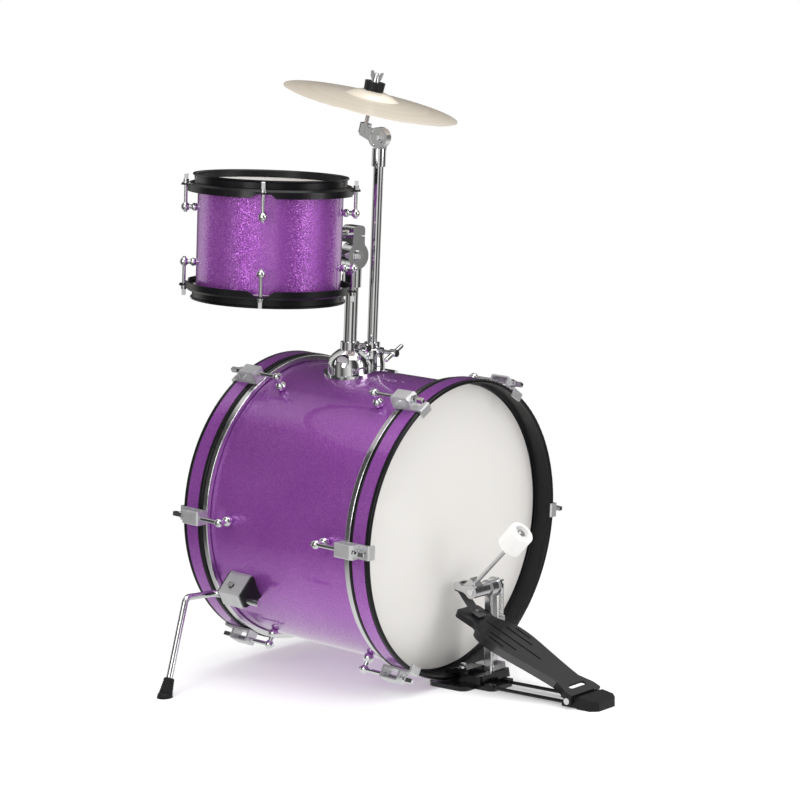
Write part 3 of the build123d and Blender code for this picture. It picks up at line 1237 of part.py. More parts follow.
with BuildPart() as hoop_clamp_jaw:
    with BuildSketch(Plane.YZ.offset(JAW_X)):
        with BuildLine():
            Polyline(
                (CLAMP_Y - 12, DECK_TOP + RUNNING),
                (CLAMP_Y - 12, JAW_TOP),
                (CLAMP_Y + 8, JAW_TOP),
                (HOOP_BOTTOM_Y + 13, JAW_LIP + 5),
                (HOOP_BOTTOM_Y + 15, JAW_LIP + 2),
                (HOOP_BOTTOM_Y + 15, JAW_LIP),
                (HOOP_BOTTOM_Y + 2, JAW_LIP),
                (HOOP_BOTTOM_Y - 3, DECK_TOP + RUNNING),
                close=True,
            )
        make_face()
    extrude(amount=JAW_WIDTH / 2, both=True)
    with BuildSketch(Plane.XY.offset(JAW_TOP + 5)):
        with Locations((CLAMP_X, CLAMP_Y)):
            Circle(CONNECTOR_DIAMETER / 2 + RUNNING)
    extrude(amount=-20, mode=Mode.SUBTRACT)
save(hoop_clamp_jaw, "hoop_clamp_jaw", FLOOR)

with BuildPart() as pedal_clamp_screw:
    with BuildSketch(Plane.XY.offset(JAW_TOP + CLEAR)):
        with Locations((CLAMP_X, CLAMP_Y)):
            Circle(CONNECTOR_DIAMETER)
    extrude(amount=2)
    with BuildSketch(Plane.XY.offset(JAW_TOP + 2)):
        with Locations((CLAMP_X, CLAMP_Y)):
            Rectangle(KEY_SQUARE, KEY_SQUARE)
    extrude(amount=5)
    with BuildSketch(Plane.XY.offset(JAW_TOP + 1)):
        with Locations((CLAMP_X, CLAMP_Y)):
            Circle(CONNECTOR_DIAMETER / 2)
    extrude(amount=-(JAW_TOP + 1 - DECK_TOP - CLEAR))
save(pedal_clamp_screw, "pedal_clamp_screw", FLOOR)

BEARING_R = 12.0
BEARING_LENGTH = 16.0
POST_WIDTH = 16.0
POST_DEPTH = 16.0
POST_FOOT_Y = -184.0
SPRING_GAP = 0.4
SPRING_DIAMETER = 8.0
SPRING_FOOT = 90.0
CRANK_R = 14.0
CRANK_THICKNESS = 4.0
CRANK_FROM = POST_X + BEARING_LENGTH / 2 + SPRING_GAP
SPRING_X = CRANK_FROM + CRANK_THICKNESS + SPRING_GAP + SPRING_DIAMETER / 2
SPRING_Y = AXLE_Y - 7.0
SPRING_TOP = AXLE_HEIGHT + 4.0

with BuildPart() as pedal_post:
    with BuildSketch(Plane.XY.offset(DECK_TOP + RUNNING)):
        with Locations((POST_X - 4, POST_FOOT_Y - 2)):
            RectangleRounded(36, 34, 5)
    extrude(amount=8, taper=10)
    with BuildSketch(Plane.XY.offset(DECK_TOP + 5)):
        with Locations((POST_X, POST_FOOT_Y)):
            RectangleRounded(POST_WIDTH, POST_DEPTH, 3)
    with BuildSketch(Plane.XY.offset(AXLE_HEIGHT - 4)):
        with Locations((POST_X, AXLE_Y - 1)):
            RectangleRounded(POST_WIDTH - 2, POST_DEPTH - 2, 3)
    loft()
    with BuildSketch(Plane.YZ.offset(POST_X - BEARING_LENGTH / 2)):
        with Locations((AXLE_Y, AXLE_HEIGHT)):
            Circle(BEARING_R)
    extrude(amount=BEARING_LENGTH)
    # A lug on the outer side carries the foot of the spring.
    with BuildSketch(Plane.XY.offset(SPRING_FOOT)):
        with Locations(((POST_X + SPRING_X) / 2 + 2, SPRING_Y)):
            RectangleRounded(SPRING_X - POST_X + 6, 9, 3)
    extrude(amount=-7)
    with BuildSketch(Plane.YZ.offset(POST_X - BEARING_LENGTH)):
        with Locations((AXLE_Y, AXLE_HEIGHT)):
            Circle(AXLE_DIAMETER / 2 + RUNNING)
    extrude(amount=2 * BEARING_LENGTH, mode=Mode.SUBTRACT)
    # Two flutes run down the side that faces the drummer.
    for side in (-1, 1):
        with Locations((POST_X + side * 4.2, POST_FOOT_Y - POST_DEPTH / 2 + 2.5, 73)):
            Cylinder(2.2, 76, rotation=(-4.5, 0, 0), mode=Mode.SUBTRACT)
save(pedal_post, "pedal_post", FLOOR)

with BuildPart() as pedal_connecting_rods:
    with BuildSketch(Plane.XZ.offset(-(TAIL_BACK + CONNECTOR_GRIP))):
        with Locations(*[(x, CONNECTOR_HEIGHT) for x in CONNECTOR_X]):
            Circle(CONNECTOR_DIAMETER / 2)
    extrude(amount=TAIL_BACK + 2 * CONNECTOR_GRIP - TONGUE_FRONT)
save(pedal_connecting_rods, "pedal_connecting_rods", FLOOR)

BARREL_R = 6.5
EAR_INNER = 28.0
EAR_THICK = 6.5
EAR_OUTER = EAR_INNER + EAR_THICK
BARREL_HALF = EAR_INNER - LOOSE
HEEL_REAR_HEIGHT = 13.0
HEEL_CHAMFER = 9.0

with BuildPart() as heel_plate:
    with BuildSketch(Plane.XY):
        with Locations((PEDAL_X, HEEL_FRONT - HEEL_LENGTH / 2)):
            Rectangle(HEEL_WIDTH, HEEL_LENGTH)
        chamfer(vertices().group_by(Axis.Y)[0], HEEL_CHAMFER)
    extrude(amount=HEEL_HEIGHT)
    with BuildSketch(Plane.YZ.offset(PEDAL_X)):
        with BuildLine():
            Polyline(
                (HEEL_FRONT + 1, HEEL_HEIGHT + 2),
                (HEEL_FRONT + 1, HEEL_HEIGHT - 2.5),
                (HEEL_FRONT - 4, HEEL_HEIGHT),
                (HEEL_BACK_Y - 1, HEEL_REAR_HEIGHT),
                (HEEL_BACK_Y - 1, HEEL_HEIGHT + 2),
                close=True,
            )
        make_face()
    extrude(amount=HEEL_WIDTH, both=True, mode=Mode.SUBTRACT)
    with BuildSketch(Plane.YZ.offset(PEDAL_X)):
        with Locations((PIN_Y, PIN_HEIGHT)):
            Circle(BARREL_R)
        with Locations(((PIN_Y + HEEL_FRONT) / 2 - 1, PIN_HEIGHT - 2)):
            Rectangle(HEEL_FROM_PIN + 2, 8)
        with Locations(((TONGUE_FRONT + HEEL_FRONT) / 2 - 1, CONNECTOR_HEIGHT - 0.2)):
            Rectangle(TONGUE_FRONT - HEEL_FRONT + 2, 7.6)
    extrude(amount=BARREL_HALF, both=True)
    with BuildSketch(Plane.YZ.offset(PEDAL_X)):
        with Locations((PIN_Y, PIN_HEIGHT)):
            Circle(PIN_DIAMETER / 2 + RUNNING)
    extrude(amount=HEEL_WIDTH, both=True, mode=Mode.SUBTRACT)
    with BuildSketch(Plane.XZ.offset(-TONGUE_FRONT - 1)):
        with Locations(*[(x, CONNECTOR_HEIGHT) for x in CONNECTOR_X]):
            Circle(CONNECTOR_DIAMETER / 2 + RUNNING)
    extrude(amount=CONNECTOR_GRIP + 1, mode=Mode.SUBTRACT)
save(heel_plate, "heel_plate", FLOOR)

with BuildPart() as heel_pin:
    with BuildSketch(Plane.YZ.offset(PEDAL_X)):
        with Locations((PIN_Y, PIN_HEIGHT)):
            Circle(PIN_DIAMETER / 2)
    extrude(amount=EAR_OUTER + 2, both=True)
    for side in (-1, 1):
        with BuildSketch(Plane.YZ.offset(PEDAL_X + side * (EAR_OUTER + CLEAR))):
            with Locations((PIN_Y, PIN_HEIGHT)):
                Circle(PIN_DIAMETER * 0.9)
        extrude(amount=side * 2)
save(heel_pin, "heel_pin", FLOOR)

# ---------------------------------------------------------------- footboard
# Here the origin is on the heel pin, x across the board, y along it to the toe and z out of it.

BOARD_PLANE = Plane(
    origin=(PEDAL_X, PIN_Y, PIN_HEIGHT),
    x_dir=(1, 0, 0),
    z_dir=(0, -sin(radians(BOARD_SLOPE)), cos(radians(BOARD_SLOPE))),
)
BOARD = FLOOR * Location(BOARD_PLANE)
BOARD_SKIN = 3.0
BOARD_DEPTH = 8.5
BOARD_FLARE = 5.0
HEEL_END = -3.5
LEAF = ((61.0, 30.0), (96.0, 36.4), (144.0, 42.7), (160.0, 40.2), (172.0, 33.5), (180.0, 27.0))
WAIST = (30.0, 25.5)
NECK = (187.0, 24.6)
TONGUE_CORNER = (213.0, 25.4)
TOE_HALF = 18.0
BOARD_EAR_R = 6.4


def board_outline(grow, flare=0.0):
    """Half of the footboard seen from above: a heel, a broad leaf, a neck and a rounded toe."""
    heel = (EAR_OUTER + grow, HEEL_END)
    shoulder = (EAR_OUTER + grow, 9.0)
    waist = (WAIST[1] + grow + flare, WAIST[0])
    leaf = [(x + grow + flare, y) for y, x in LEAF]
    neck = (NECK[1] + grow, NECK[0])
    corner = (TONGUE_CORNER[1] + grow, TONGUE_CORNER[0] + grow)
    toe = (TOE_HALF, BOARD_LENGTH + grow)
    with BuildLine() as half:
        Polyline((0, HEEL_END), heel, shoulder, waist)
        Spline(waist, *leaf[:-1], (leaf[-1][0] - flare, leaf[-1][1]), neck, tangents=[(0.1, 1), (0, 1)])
        Line(neck, corner)
        ThreePointArc(corner, ((corner[0] + toe[0]) / 2 + 1.6, (corner[1] + toe[1]) / 2 + 1.6), toe)
        Line(toe, (0, toe[1]))
    return half.line


with BuildPart() as footboard:
    with BuildSketch(Plane.XY.offset(BOARD_TOP)):
        with BuildLine():
            add(board_outline(0))
            mirror(about=Plane.YZ)
        make_face()
    with BuildSketch(Plane.XY.offset(BOARD_TOP - BOARD_DEPTH)):
        with BuildLine():
            add(board_outline(0, BOARD_FLARE))
            mirror(about=Plane.YZ)
        make_face()
    loft()
    with BuildSketch(Plane.XY.offset(BOARD_TOP - BOARD_SKIN)):
        with BuildLine():
            add(board_outline(-BOARD_SKIN, 2))
            mirror(about=Plane.YZ)
        make_face()
    with BuildSketch(Plane.XY.offset(BOARD_TOP - BOARD_DEPTH - 0.5)):
        with BuildLine():
            add(board_outline(-BOARD_SKIN, BOARD_FLARE))
            mirror(about=Plane.YZ)
        make_face()
    loft(mode=Mode.SUBTRACT)
    with BuildSketch(Plane.XY.offset(BOARD_TOP - BOARD_SKIN)):
        with Locations((0, HEEL_END)):
            Rectangle(2 * EAR_INNER, 24)
    extrude(amount=-BOARD_DEPTH, mode=Mode.SUBTRACT)
    # Two ears carry the heel pin.
    for side in (-1, 1):
        with BuildSketch(Plane.YZ.offset(side * EAR_INNER)):
            Circle(BOARD_EAR_R)
            with Locations((4, (BOARD_TOP - 1) / 2)):
                Rectangle(16, BOARD_TOP - 1)
        extrude(amount=side * EAR_THICK)
    with BuildSketch(Plane.YZ):
        Circle(PIN_DIAMETER / 2 + RUNNING)
    extrude(amount=2 * EAR_OUTER, both=True, mode=Mode.SUBTRACT)
    # The slot at the heel, and the grip grooves on the leaf.
    with BuildSketch(Plane.XY.offset(BOARD_TOP + 1)):
        with Locations((0, 13)):
            SlotOverall(38, 7.5)
    extrude(amount=-6, mode=Mode.SUBTRACT)
    with BuildSketch(Plane.XY.offset(BOARD_TOP)):
        for x, start, end in ((0, 80, 183), (-19, 110, 160), (19, 110, 160)):
            with Locations(Location((x, (start + end) / 2, 0), (0, 0, 90))):
                SlotOverall(end - start, 3.6)
        for side in (-1, 1):
            with Locations(Location((side * 32, 138, 0), (0, 0, 90))):
                SlotOverall(28, 3.6)
    extrude(amount=-1.1, mode=Mode.SUBTRACT)
    # A pad on the tongue carries the strap's bolt.
    with BuildSketch(Plane.XY.offset(BOARD_TOP - 2)):
        with Locations((0, BOARD_LENGTH - 22)):
            Circle(8)
    extrude(amount=4)
    with BuildSketch(Plane.XY.offset(BOARD_TOP + 8)):
        with Locations((0, BOARD_LENGTH - 22)):
            Circle(2.5 + RUNNING)
    extrude(amount=-20, mode=Mode.SUBTRACT)
save(footboard, "footboard", BOARD)

BOLT_Y = BOARD_LENGTH - 22
PAD_TOP = BOARD_TOP + 2
with BuildPart() as strap_bolt:
    with BuildSketch(Plane.XY.offset(PAD_TOP + STRAP_THICKNESS + 2 * CLEAR)):
        with Locations((0, BOLT_Y)):
            Circle(5)
    extrude(amount=2.4)
    with BuildSketch(Plane.XY.offset(PAD_TOP + STRAP_THICKNESS + 2 * CLEAR + 3)):
        with Locations((0, BOLT_Y)):
            Rectangle(12, 1.2)
    extrude(amount=-1.6, mode=Mode.SUBTRACT)
    with BuildSketch(Plane.XY.offset(PAD_TOP + STRAP_THICKNESS + 1)):
        with Locations((0, BOLT_Y)):
            Circle(2.5)
    extrude(amount=-14)
save(strap_bolt, "strap_bolt", BOARD)

# ---------------------------------------------------------------- axle, cam, strap and beater
# Drawn square to the floor, like the base.

CAM_HALF = 11.0
HUB_FROM = PEDAL_X - 12.0
HUB_TO = POST_X - BEARING_LENGTH / 2 - 0.5
HUB_R = 9.5
CAM_REACH = 32.0
CAM_TOP = 11.0
CAM_UNDER = 1.0
AXLE_FROM = HUB_FROM - 2.0

with BuildPart() as pedal_axle:
    with BuildSketch(Plane.YZ.offset(AXLE_FROM)):
        with Locations((AXLE_Y, AXLE_HEIGHT)):
            Circle(AXLE_DIAMETER / 2)
    extrude(amount=CRANK_FROM + CRANK_THICKNESS - AXLE_FROM)
    with BuildSketch(Plane.YZ.offset(CRANK_FROM)):
        with Locations((AXLE_Y, AXLE_HEIGHT)):
            Circle(CRANK_R)
    extrude(amount=CRANK_THICKNESS)
    with BuildSketch(Plane.YZ.offset(CRANK_FROM)):
        with Locations((SPRING_Y, AXLE_HEIGHT + 8)):
            Circle(2)
    extrude(amount=CRANK_THICKNESS + SPRING_DIAMETER)
save(pedal_axle, "pedal_axle", FLOOR)

LEAN = radians(BEATER_LEAN)
SHAFT_DIR = Vector(0, -sin(LEAN), cos(LEAN))
SHAFT_FOOT = Vector(PEDAL_X, AXLE_Y + BEATER_OFFSET * cos(LEAN), AXLE_HEIGHT + BEATER_OFFSET * sin(LEAN))
SHAFT_PLANE = Plane(origin=SHAFT_FOOT, x_dir=(1, 0, 0), z_dir=SHAFT_DIR)
SHAFT = FLOOR * Location(SHAFT_PLANE)
BOSS = 16.0

with BuildPart() as pedal_cam:
    with BuildSketch(Plane.YZ.offset(PEDAL_X - CAM_HALF)):
        with BuildLine():
            Polyline(
                (AXLE_Y, AXLE_HEIGHT - HUB_R),
                (AXLE_Y + 14, AXLE_HEIGHT + CAM_UNDER - 3),
                (AXLE_Y + CAM_REACH - 1.5, AXLE_HEIGHT + CAM_UNDER),
                (AXLE_Y + CAM_REACH, AXLE_HEIGHT + CAM_UNDER + 2),
                (AXLE_Y + CAM_REACH, AXLE_HEIGHT + CAM_TOP - 3),
                (AXLE_Y + CAM_REACH - 3, AXLE_HEIGHT + CAM_TOP),
                (AXLE_Y + CAM_REACH - 10, AXLE_HEIGHT + CAM_TOP),
                (AXLE_Y + CAM_REACH - 15, AXLE_HEIGHT + CAM_TOP - 4),
                (AXLE_Y + 8, AXLE_HEIGHT + CAM_TOP - 3),
                (AXLE_Y, AXLE_HEIGHT + HUB_R),
                close=True,
            )
        make_face()
    extrude(amount=2 * CAM_HALF)
    with BuildSketch(Plane.YZ.offset(HUB_FROM)):
        with Locations((AXLE_Y, AXLE_HEIGHT)):
            Circle(HUB_R)
    extrude(amount=HUB_TO - HUB_FROM)
    with BuildSketch(SHAFT_PLANE.offset(-BOSS / 2)):
        Rectangle(BOSS, BOSS)
    extrude(amount=BOSS + 3)
    with BuildSketch(Plane.XY.offset(AXLE_HEIGHT + 20)):
        with Locations((PEDAL_X, AXLE_Y + CAM_REACH - 10)):
            SlotOverall(14, 5)
    extrude(amount=-40, mode=Mode.SUBTRACT)
    with BuildSketch(Plane.YZ.offset(AXLE_FROM - 2)):
        with Locations((AXLE_Y, AXLE_HEIGHT)):
            Circle(AXLE_DIAMETER / 2 + RUNNING)
    extrude(amount=60, mode=Mode.SUBTRACT)
    with BuildSketch(SHAFT_PLANE.offset(-BOSS)):
        Circle(BEATER_SHAFT_DIAMETER / 2 + RUNNING)
    extrude(amount=3 * BOSS, mode=Mode.SUBTRACT)
save(pedal_cam, "pedal_cam", FLOOR)

with BuildPart() as beater_shaft:
    with Locations((0, 0, -BOSS / 2 - 3)):
        Cylinder(
            BEATER_SHAFT_DIAMETER / 2,
            BEATER_REACH + BEATER_LENGTH / 2 - 1 + BOSS / 2 + 3,
            align=(Align.CENTER, Align.CENTER, Align.MIN),
        )
save(beater_shaft, "beater_shaft", SHAFT)

BEATER_ROUND = 3.0
RECESS_DEPTH = 8.0
RECESS_R = 11.5
BEATER_LOW = BEATER_REACH - BEATER_LENGTH / 2
BEATER_HIGH = BEATER_REACH + BEATER_LENGTH / 2
with BuildPart() as beater_head:
    with Locations((0, 0, BEATER_LOW)):
        Cylinder(BEATER_DIAMETER / 2, BEATER_LENGTH, align=(Align.CENTER, Align.CENTER, Align.MIN))
    fillet(beater_head.edges().filter_by(GeomType.CIRCLE), BEATER_ROUND)
    with BuildSketch(Plane.XY.offset(BEATER_HIGH + 1)):
        Circle(RECESS_R)
    extrude(amount=-RECESS_DEPTH - 1, mode=Mode.SUBTRACT)
    with BuildSketch(Plane.XY.offset(BEATER_LOW - 1)):
        Circle(BEATER_SHAFT_DIAMETER / 2 + RUNNING)
    extrude(amount=BEATER_LENGTH + 2, mode=Mode.SUBTRACT)
save(beater_head, "beater_head", SHAFT)

with BuildPart() as beater_nut:
    with BuildSketch(Plane.XY.offset(BEATER_HIGH - RECESS_DEPTH + RUNNING)):
        RegularPolygon(6.6, 6)
        Circle(BEATER_SHAFT_DIAMETER / 2 + RUNNING, mode=Mode.SUBTRACT)
    extrude(amount=5)
save(beater_nut, "beater_nut", SHAFT)

# The strap, from the bolt on the toe up to the underside of the cam.
BOARD_COS = cos(radians(BOARD_SLOPE))
BOARD_SIN = sin(radians(BOARD_SLOPE))
STRAP_LEVEL = PAD_TOP + CLEAR + STRAP_THICKNESS / 2


def above_board(along):
    """A point on the strap's middle line where it lies on the footboard's pad."""
    return (
        PIN_Y + along * BOARD_COS - STRAP_LEVEL * BOARD_SIN,
        PIN_HEIGHT + along * BOARD_SIN + STRAP_LEVEL * BOARD_COS,
    )


CAM_GRIP_Y = AXLE_Y + 24.5
STRAP_TOP_HEIGHT = AXLE_HEIGHT + CAM_UNDER - 3.2
with BuildPart() as pedal_strap:
    with BuildSketch(Plane.YZ.offset(PEDAL_X - STRAP_WIDTH / 2)):
        with BuildLine():
            Polyline(
                above_board(BOLT_Y - 9),
                above_board(BOLT_Y + 6),
                (CAM_GRIP_Y, STRAP_TOP_HEIGHT),
                (AXLE_Y + CAM_REACH - 1, STRAP_TOP_HEIGHT + 1.5),
            )
        trace(line_width=STRAP_THICKNESS)
    extrude(amount=STRAP_WIDTH)
    with BuildSketch(BOARD_PLANE.offset(STRAP_LEVEL + 5)):
        with Locations((0, BOLT_Y)):
            Circle(CONNECTOR_DIAMETER / 2 + CLEAR)
    extrude(amount=-10, mode=Mode.SUBTRACT)
save(pedal_strap, "pedal_strap", FLOOR)

with BuildPart() as pedal_spring:
    with BuildSketch(Plane.XY.offset(SPRING_FOOT + RUNNING)):
        with Locations((SPRING_X, SPRING_Y)):
            Circle(SPRING_DIAMETER / 2)
            Circle(SPRING_DIAMETER / 2 - 1.4, mode=Mode.SUBTRACT)
    extrude(amount=SPRING_TOP - SPRING_FOOT)
save(pedal_spring, "pedal_spring", FLOOR)
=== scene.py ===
# %% [markdown]
# # The looks of a junior drum kit
#
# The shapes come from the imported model, which is loaded as a fixed frame: every drum, rod and
# claw is already in its place, in metres. This lesson gives each piece its real finish, models
# the few pieces that need finer shape than a machine drawing holds, and lights them all.

# %% Load the frame
import json
from math import pi, radians

import bmesh
import bpy
from mathutils import Matrix, Vector


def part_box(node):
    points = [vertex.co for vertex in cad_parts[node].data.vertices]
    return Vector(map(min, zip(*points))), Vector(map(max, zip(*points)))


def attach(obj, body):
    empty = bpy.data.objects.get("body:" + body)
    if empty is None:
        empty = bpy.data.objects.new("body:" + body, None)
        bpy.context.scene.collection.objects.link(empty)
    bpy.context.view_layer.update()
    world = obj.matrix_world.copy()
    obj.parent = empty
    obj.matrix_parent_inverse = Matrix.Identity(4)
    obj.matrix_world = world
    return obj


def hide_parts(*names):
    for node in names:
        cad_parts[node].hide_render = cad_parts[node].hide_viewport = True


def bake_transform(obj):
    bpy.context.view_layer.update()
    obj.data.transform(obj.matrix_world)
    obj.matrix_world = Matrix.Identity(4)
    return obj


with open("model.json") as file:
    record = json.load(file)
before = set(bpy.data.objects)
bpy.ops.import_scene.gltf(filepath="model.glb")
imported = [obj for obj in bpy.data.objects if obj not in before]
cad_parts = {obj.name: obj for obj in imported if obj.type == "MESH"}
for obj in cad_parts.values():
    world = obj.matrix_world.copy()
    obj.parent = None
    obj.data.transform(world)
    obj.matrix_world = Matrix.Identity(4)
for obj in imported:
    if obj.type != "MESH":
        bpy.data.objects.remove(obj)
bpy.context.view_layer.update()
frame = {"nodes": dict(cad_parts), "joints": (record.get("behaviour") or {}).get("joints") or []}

# %% [markdown]
# ## Where things are
#
# The frame knows every joint's place and axis, and every node's box. The joints are kept by
# name, for the pieces that have to line up with them. The middle of the bass drum's shell is
# where the camera's place is measured from later on.

# %% Joints and the middle of the drum
joints = {joint["name"]: joint for joint in frame["joints"]}
shell_low, shell_high = [Vector(corner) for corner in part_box("bass_shell")]
shell_middle = (shell_low + shell_high) / 2
print("the middle of the drum is at", tuple(shell_middle))

# %% [markdown]
# ## One way to write a finish
#
# A finish is a tree of nodes. Written by hand, such trees hide what they work out, so two small
# tools are used here. `Value` wraps a socket, and lets plain arithmetic add the Math nodes.
# `Finish` holds one material and has a single method that makes any other node: its settings
# are set first, because some of them change which sockets the node has, and then its inputs.

# %% Shader arithmetic
class Value:
    """A number that comes out of a node, to be used in ordinary arithmetic."""

    def __init__(self, finish, socket):
        self.finish = finish
        self.socket = socket

    def math(self, operation, *others):
        inputs = {0: self}
        for place, other in enumerate(others):
            inputs[place + 1] = other
        return self.finish.node("ShaderNodeMath", {"operation": operation}, inputs)

    def __add__(self, other):
        return self.math("ADD", other)

    __radd__ = __add__

    def __mul__(self, other):
        return self.math("MULTIPLY", other)

    __rmul__ = __mul__

    def __sub__(self, other):
        return self.math("SUBTRACT", other)

    def __rsub__(self, other):
        return (self * -1) + other

    def clamp(self, low=0.0, high=1.0):
        return self.math("MAXIMUM", low).math("MINIMUM", high)


class Finish:
    """One material: a Principled surface, the object's own coordinates, and what drives them."""

    def __init__(self, name, **surface):
        self.material = bpy.data.materials.new(name)
        self.material.use_nodes = True
        self.tree = self.material.node_tree
        self.surface = self.tree.nodes["Principled BSDF"]
        for socket, value in surface.items():
            self.set(socket.replace("_", " ").title().replace("Ior", "IOR"), value)
        self.place = self.node("ShaderNodeTexCoord", output="Object")

    def set(self, name, value):
        socket = self.surface.inputs[name]
        if isinstance(value, Value):
            self.tree.links.new(value.socket, socket)
        elif isinstance(value, tuple) and len(value) == 3:
            socket.default_value = (*value, 1.0)
        else:
            socket.default_value = value

    def node(self, kind, settings=None, inputs=None, output=0):
        made = self.tree.nodes.new(kind)
        for name, value in (settings or {}).items():
            if name == "stops":
                ramp = made.color_ramp
                while len(ramp.elements) < len(value):
                    ramp.elements.new(1.0)
                for element, (position, colour) in zip(ramp.elements, value):
                    element.position = position
                    element.color = (*colour, 1.0)
            else:
                setattr(made, name, value)
        for name, value in (inputs or {}).items():
            if isinstance(value, Value):
                self.tree.links.new(value.socket, made.inputs[name])
            elif isinstance(value, tuple) and len(value) == 3 and made.inputs[name].type == "RGBA":
                made.inputs[name].default_value = (*value, 1.0)
            else:
                made.inputs[name].default_value = value
        return Value(self, made.outputs[output])

    def noise(self, scale, detail=2.0, place=None, roughness=0.5):
        inputs = {"Vector": place or self.place, "Scale": scale}
        inputs |= {"Detail": detail, "Roughness": roughness}
        return self.node("ShaderNodeTexNoise", None, inputs)

    def ramp(self, value, *stops):
        return self.node("ShaderNodeValToRGB", {"stops": stops}, {"Fac": value})

    def bump(self, height, strength, distance):
        inputs = {"Height": height, "Strength": strength, "Distance": distance}
        self.set("Normal", self.node("ShaderNodeBump", None, inputs))


def wear(finish, node_names):
    """Put one finish on every surface of the named pieces."""
    for name in node_names:
        piece = frame["nodes"][name]
        piece.data.materials.clear()
        piece.data.materials.append(finish.material)
    print(finish.material.name, "on", len(node_names), "pieces")


# %% [markdown]
# ## Sparkle wrap
#
# The shells are wrapped in a plastic sheet with metal glitter sunk in it. Each flake lies at its
# own angle, so some flash white and their neighbours stay dark, under one smooth clear skin. A
# picture of glitter would slide and blur, so the flakes are the cells of a Voronoi texture: the
# colour of a cell is random, and it turns the surface's normal and tints its purple. The tints are
# a shaded, a plain and a lit copy of one purple and a near white, so the flakes' dark and bright
# tones are painted shade and painted glints on top of the wrap's own purple. The clear coat on top
# keeps its own smooth normal. The tom's wrap is coarser than the bass drum's.

# %% Sparkle wrap
def sparkle_wrap(name, flakes_per_metre, tilt, deep, middle, bright):
    wrap = Finish(name, metallic=0.6, roughness=0.36, coat_weight=1.0, coat_roughness=0.02)
    cells = {"Vector": wrap.place, "Scale": flakes_per_metre}
    flake = wrap.node("ShaderNodeTexVoronoi", None, cells, output="Color")
    parts = wrap.node("ShaderNodeSeparateColor", None, {"Color": flake})
    haze = wrap.noise(9.0, 3.0)
    level = parts * 0.8 + haze * 0.3 - 0.05
    # The stops run from a shaded copy of the purple, through the plain one, to a lit copy and a
    # near white: painted shade and painted glints on random flakes.
    stops = ((0.0, deep), (0.5, middle), (0.88, bright), (0.99, (0.74, 0.42, 0.86)))
    wrap.set("Base Color", wrap.ramp(level, *stops))
    wrap.set("Roughness", 0.40 - parts * 0.14)
    middle_grey = (0.5, 0.5, 0.5)
    centred = wrap.node(
        "ShaderNodeVectorMath", {"operation": "SUBTRACT"}, {0: flake, 1: middle_grey}
    )
    turned = wrap.node("ShaderNodeVectorMath", {"operation": "SCALE"}, {0: centred, "Scale": tilt})
    normal = wrap.node("ShaderNodeNewGeometry", output="Normal")
    bent = wrap.node("ShaderNodeVectorMath", {"operation": "ADD"}, {0: normal, 1: turned})
    wrap.set("Normal", wrap.node("ShaderNodeVectorMath", {"operation": "NORMALIZE"}, {0: bent}))
    return wrap


# A shaded, a plain and a lit copy of the wrap's purple; the shaded and lit ones are painted shade
# and painted glints.
SHADED_PURPLE = (0.215, 0.034, 0.33)
PURPLE = (0.345, 0.076, 0.46)
LIT_PURPLE = (0.52, 0.17, 0.62)
bass_wrap = sparkle_wrap("bass_sparkle_wrap", 1700.0, 0.26, SHADED_PURPLE, PURPLE, LIT_PURPLE)
tom_wrap = sparkle_wrap("tom_sparkle_wrap", 1050.0, 0.36, SHADED_PURPLE, PURPLE, LIT_PURPLE)
wear(bass_wrap, ["bass_shell", "bass_hoop_inlays"])
wear(tom_wrap, ["tom_shell"])

# %% [markdown]
# ## Drum heads
#
# The heads are film with a sprayed coating: warm white, softly glossy, and very finely pebbled.
# The coating lies a little unevenly, which shows as faint clouds in its colour and its gloss.

# %% Coated film
film = Finish("coated_film", roughness=0.3, coat_weight=0.2, coat_roughness=0.16)
clouds = film.noise(7.0, 4.0)
DULL_FILM = (0.762, 0.742, 0.712)
CLEAR_FILM = (0.79, 0.771, 0.744)
film.set("Base Color", film.ramp(clouds, (0.25, DULL_FILM), (0.75, CLEAR_FILM)))
film.set("Roughness", clouds * 0.04 + 0.30)
film.bump(film.noise(1500.0, 1.0), 0.12, 0.0002)
wear(film, ["batter_head", "front_head", "tom_batter_head", "tom_bottom_head"])

# %% [markdown]
# ## Metals
#
# Polished chrome is never quite even: its plating follows the casting under it, and handling
# leaves a faint haze. A slow noise moves its roughness, and a second one gives it a slight
# waviness. The satin pieces are the same idea with more roughness and a finer grain.

# %% Metal finishes
def metal(name, colour, rough, spread, waves=90.0, depth=0.00004, metallic=1.0):
    made = Finish(name, metallic=metallic)
    haze = made.noise(60.0, 4.0)
    darker = tuple(part * 0.93 for part in colour)
    made.set("Base Color", made.ramp(haze, (0.3, darker), (0.7, colour)))
    made.set("Roughness", haze * spread + (rough - spread / 2))
    made.bump(made.noise(waves, 2.0), 0.35, depth)
    return made


chrome = metal("polished_chrome", (0.80, 0.81, 0.83), 0.075, 0.05)
turned_chrome = metal("turned_chrome", (0.83, 0.84, 0.855), 0.13, 0.08, waves=260.0)
rolled_steel = metal("rolled_flesh_hoop_steel", (0.80, 0.80, 0.82), 0.2, 0.1, waves=30.0)
satin_rod = metal("satin_rod_steel", (0.74, 0.745, 0.76), 0.22, 0.1, waves=320.0)
silver_paint = metal("satin_silver_paint", (0.70, 0.70, 0.71), 0.34, 0.1, waves=420.0, metallic=0.7)
zinc = metal("polished_zinc", (0.66, 0.665, 0.68), 0.22, 0.16, waves=70.0, depth=0.0002)

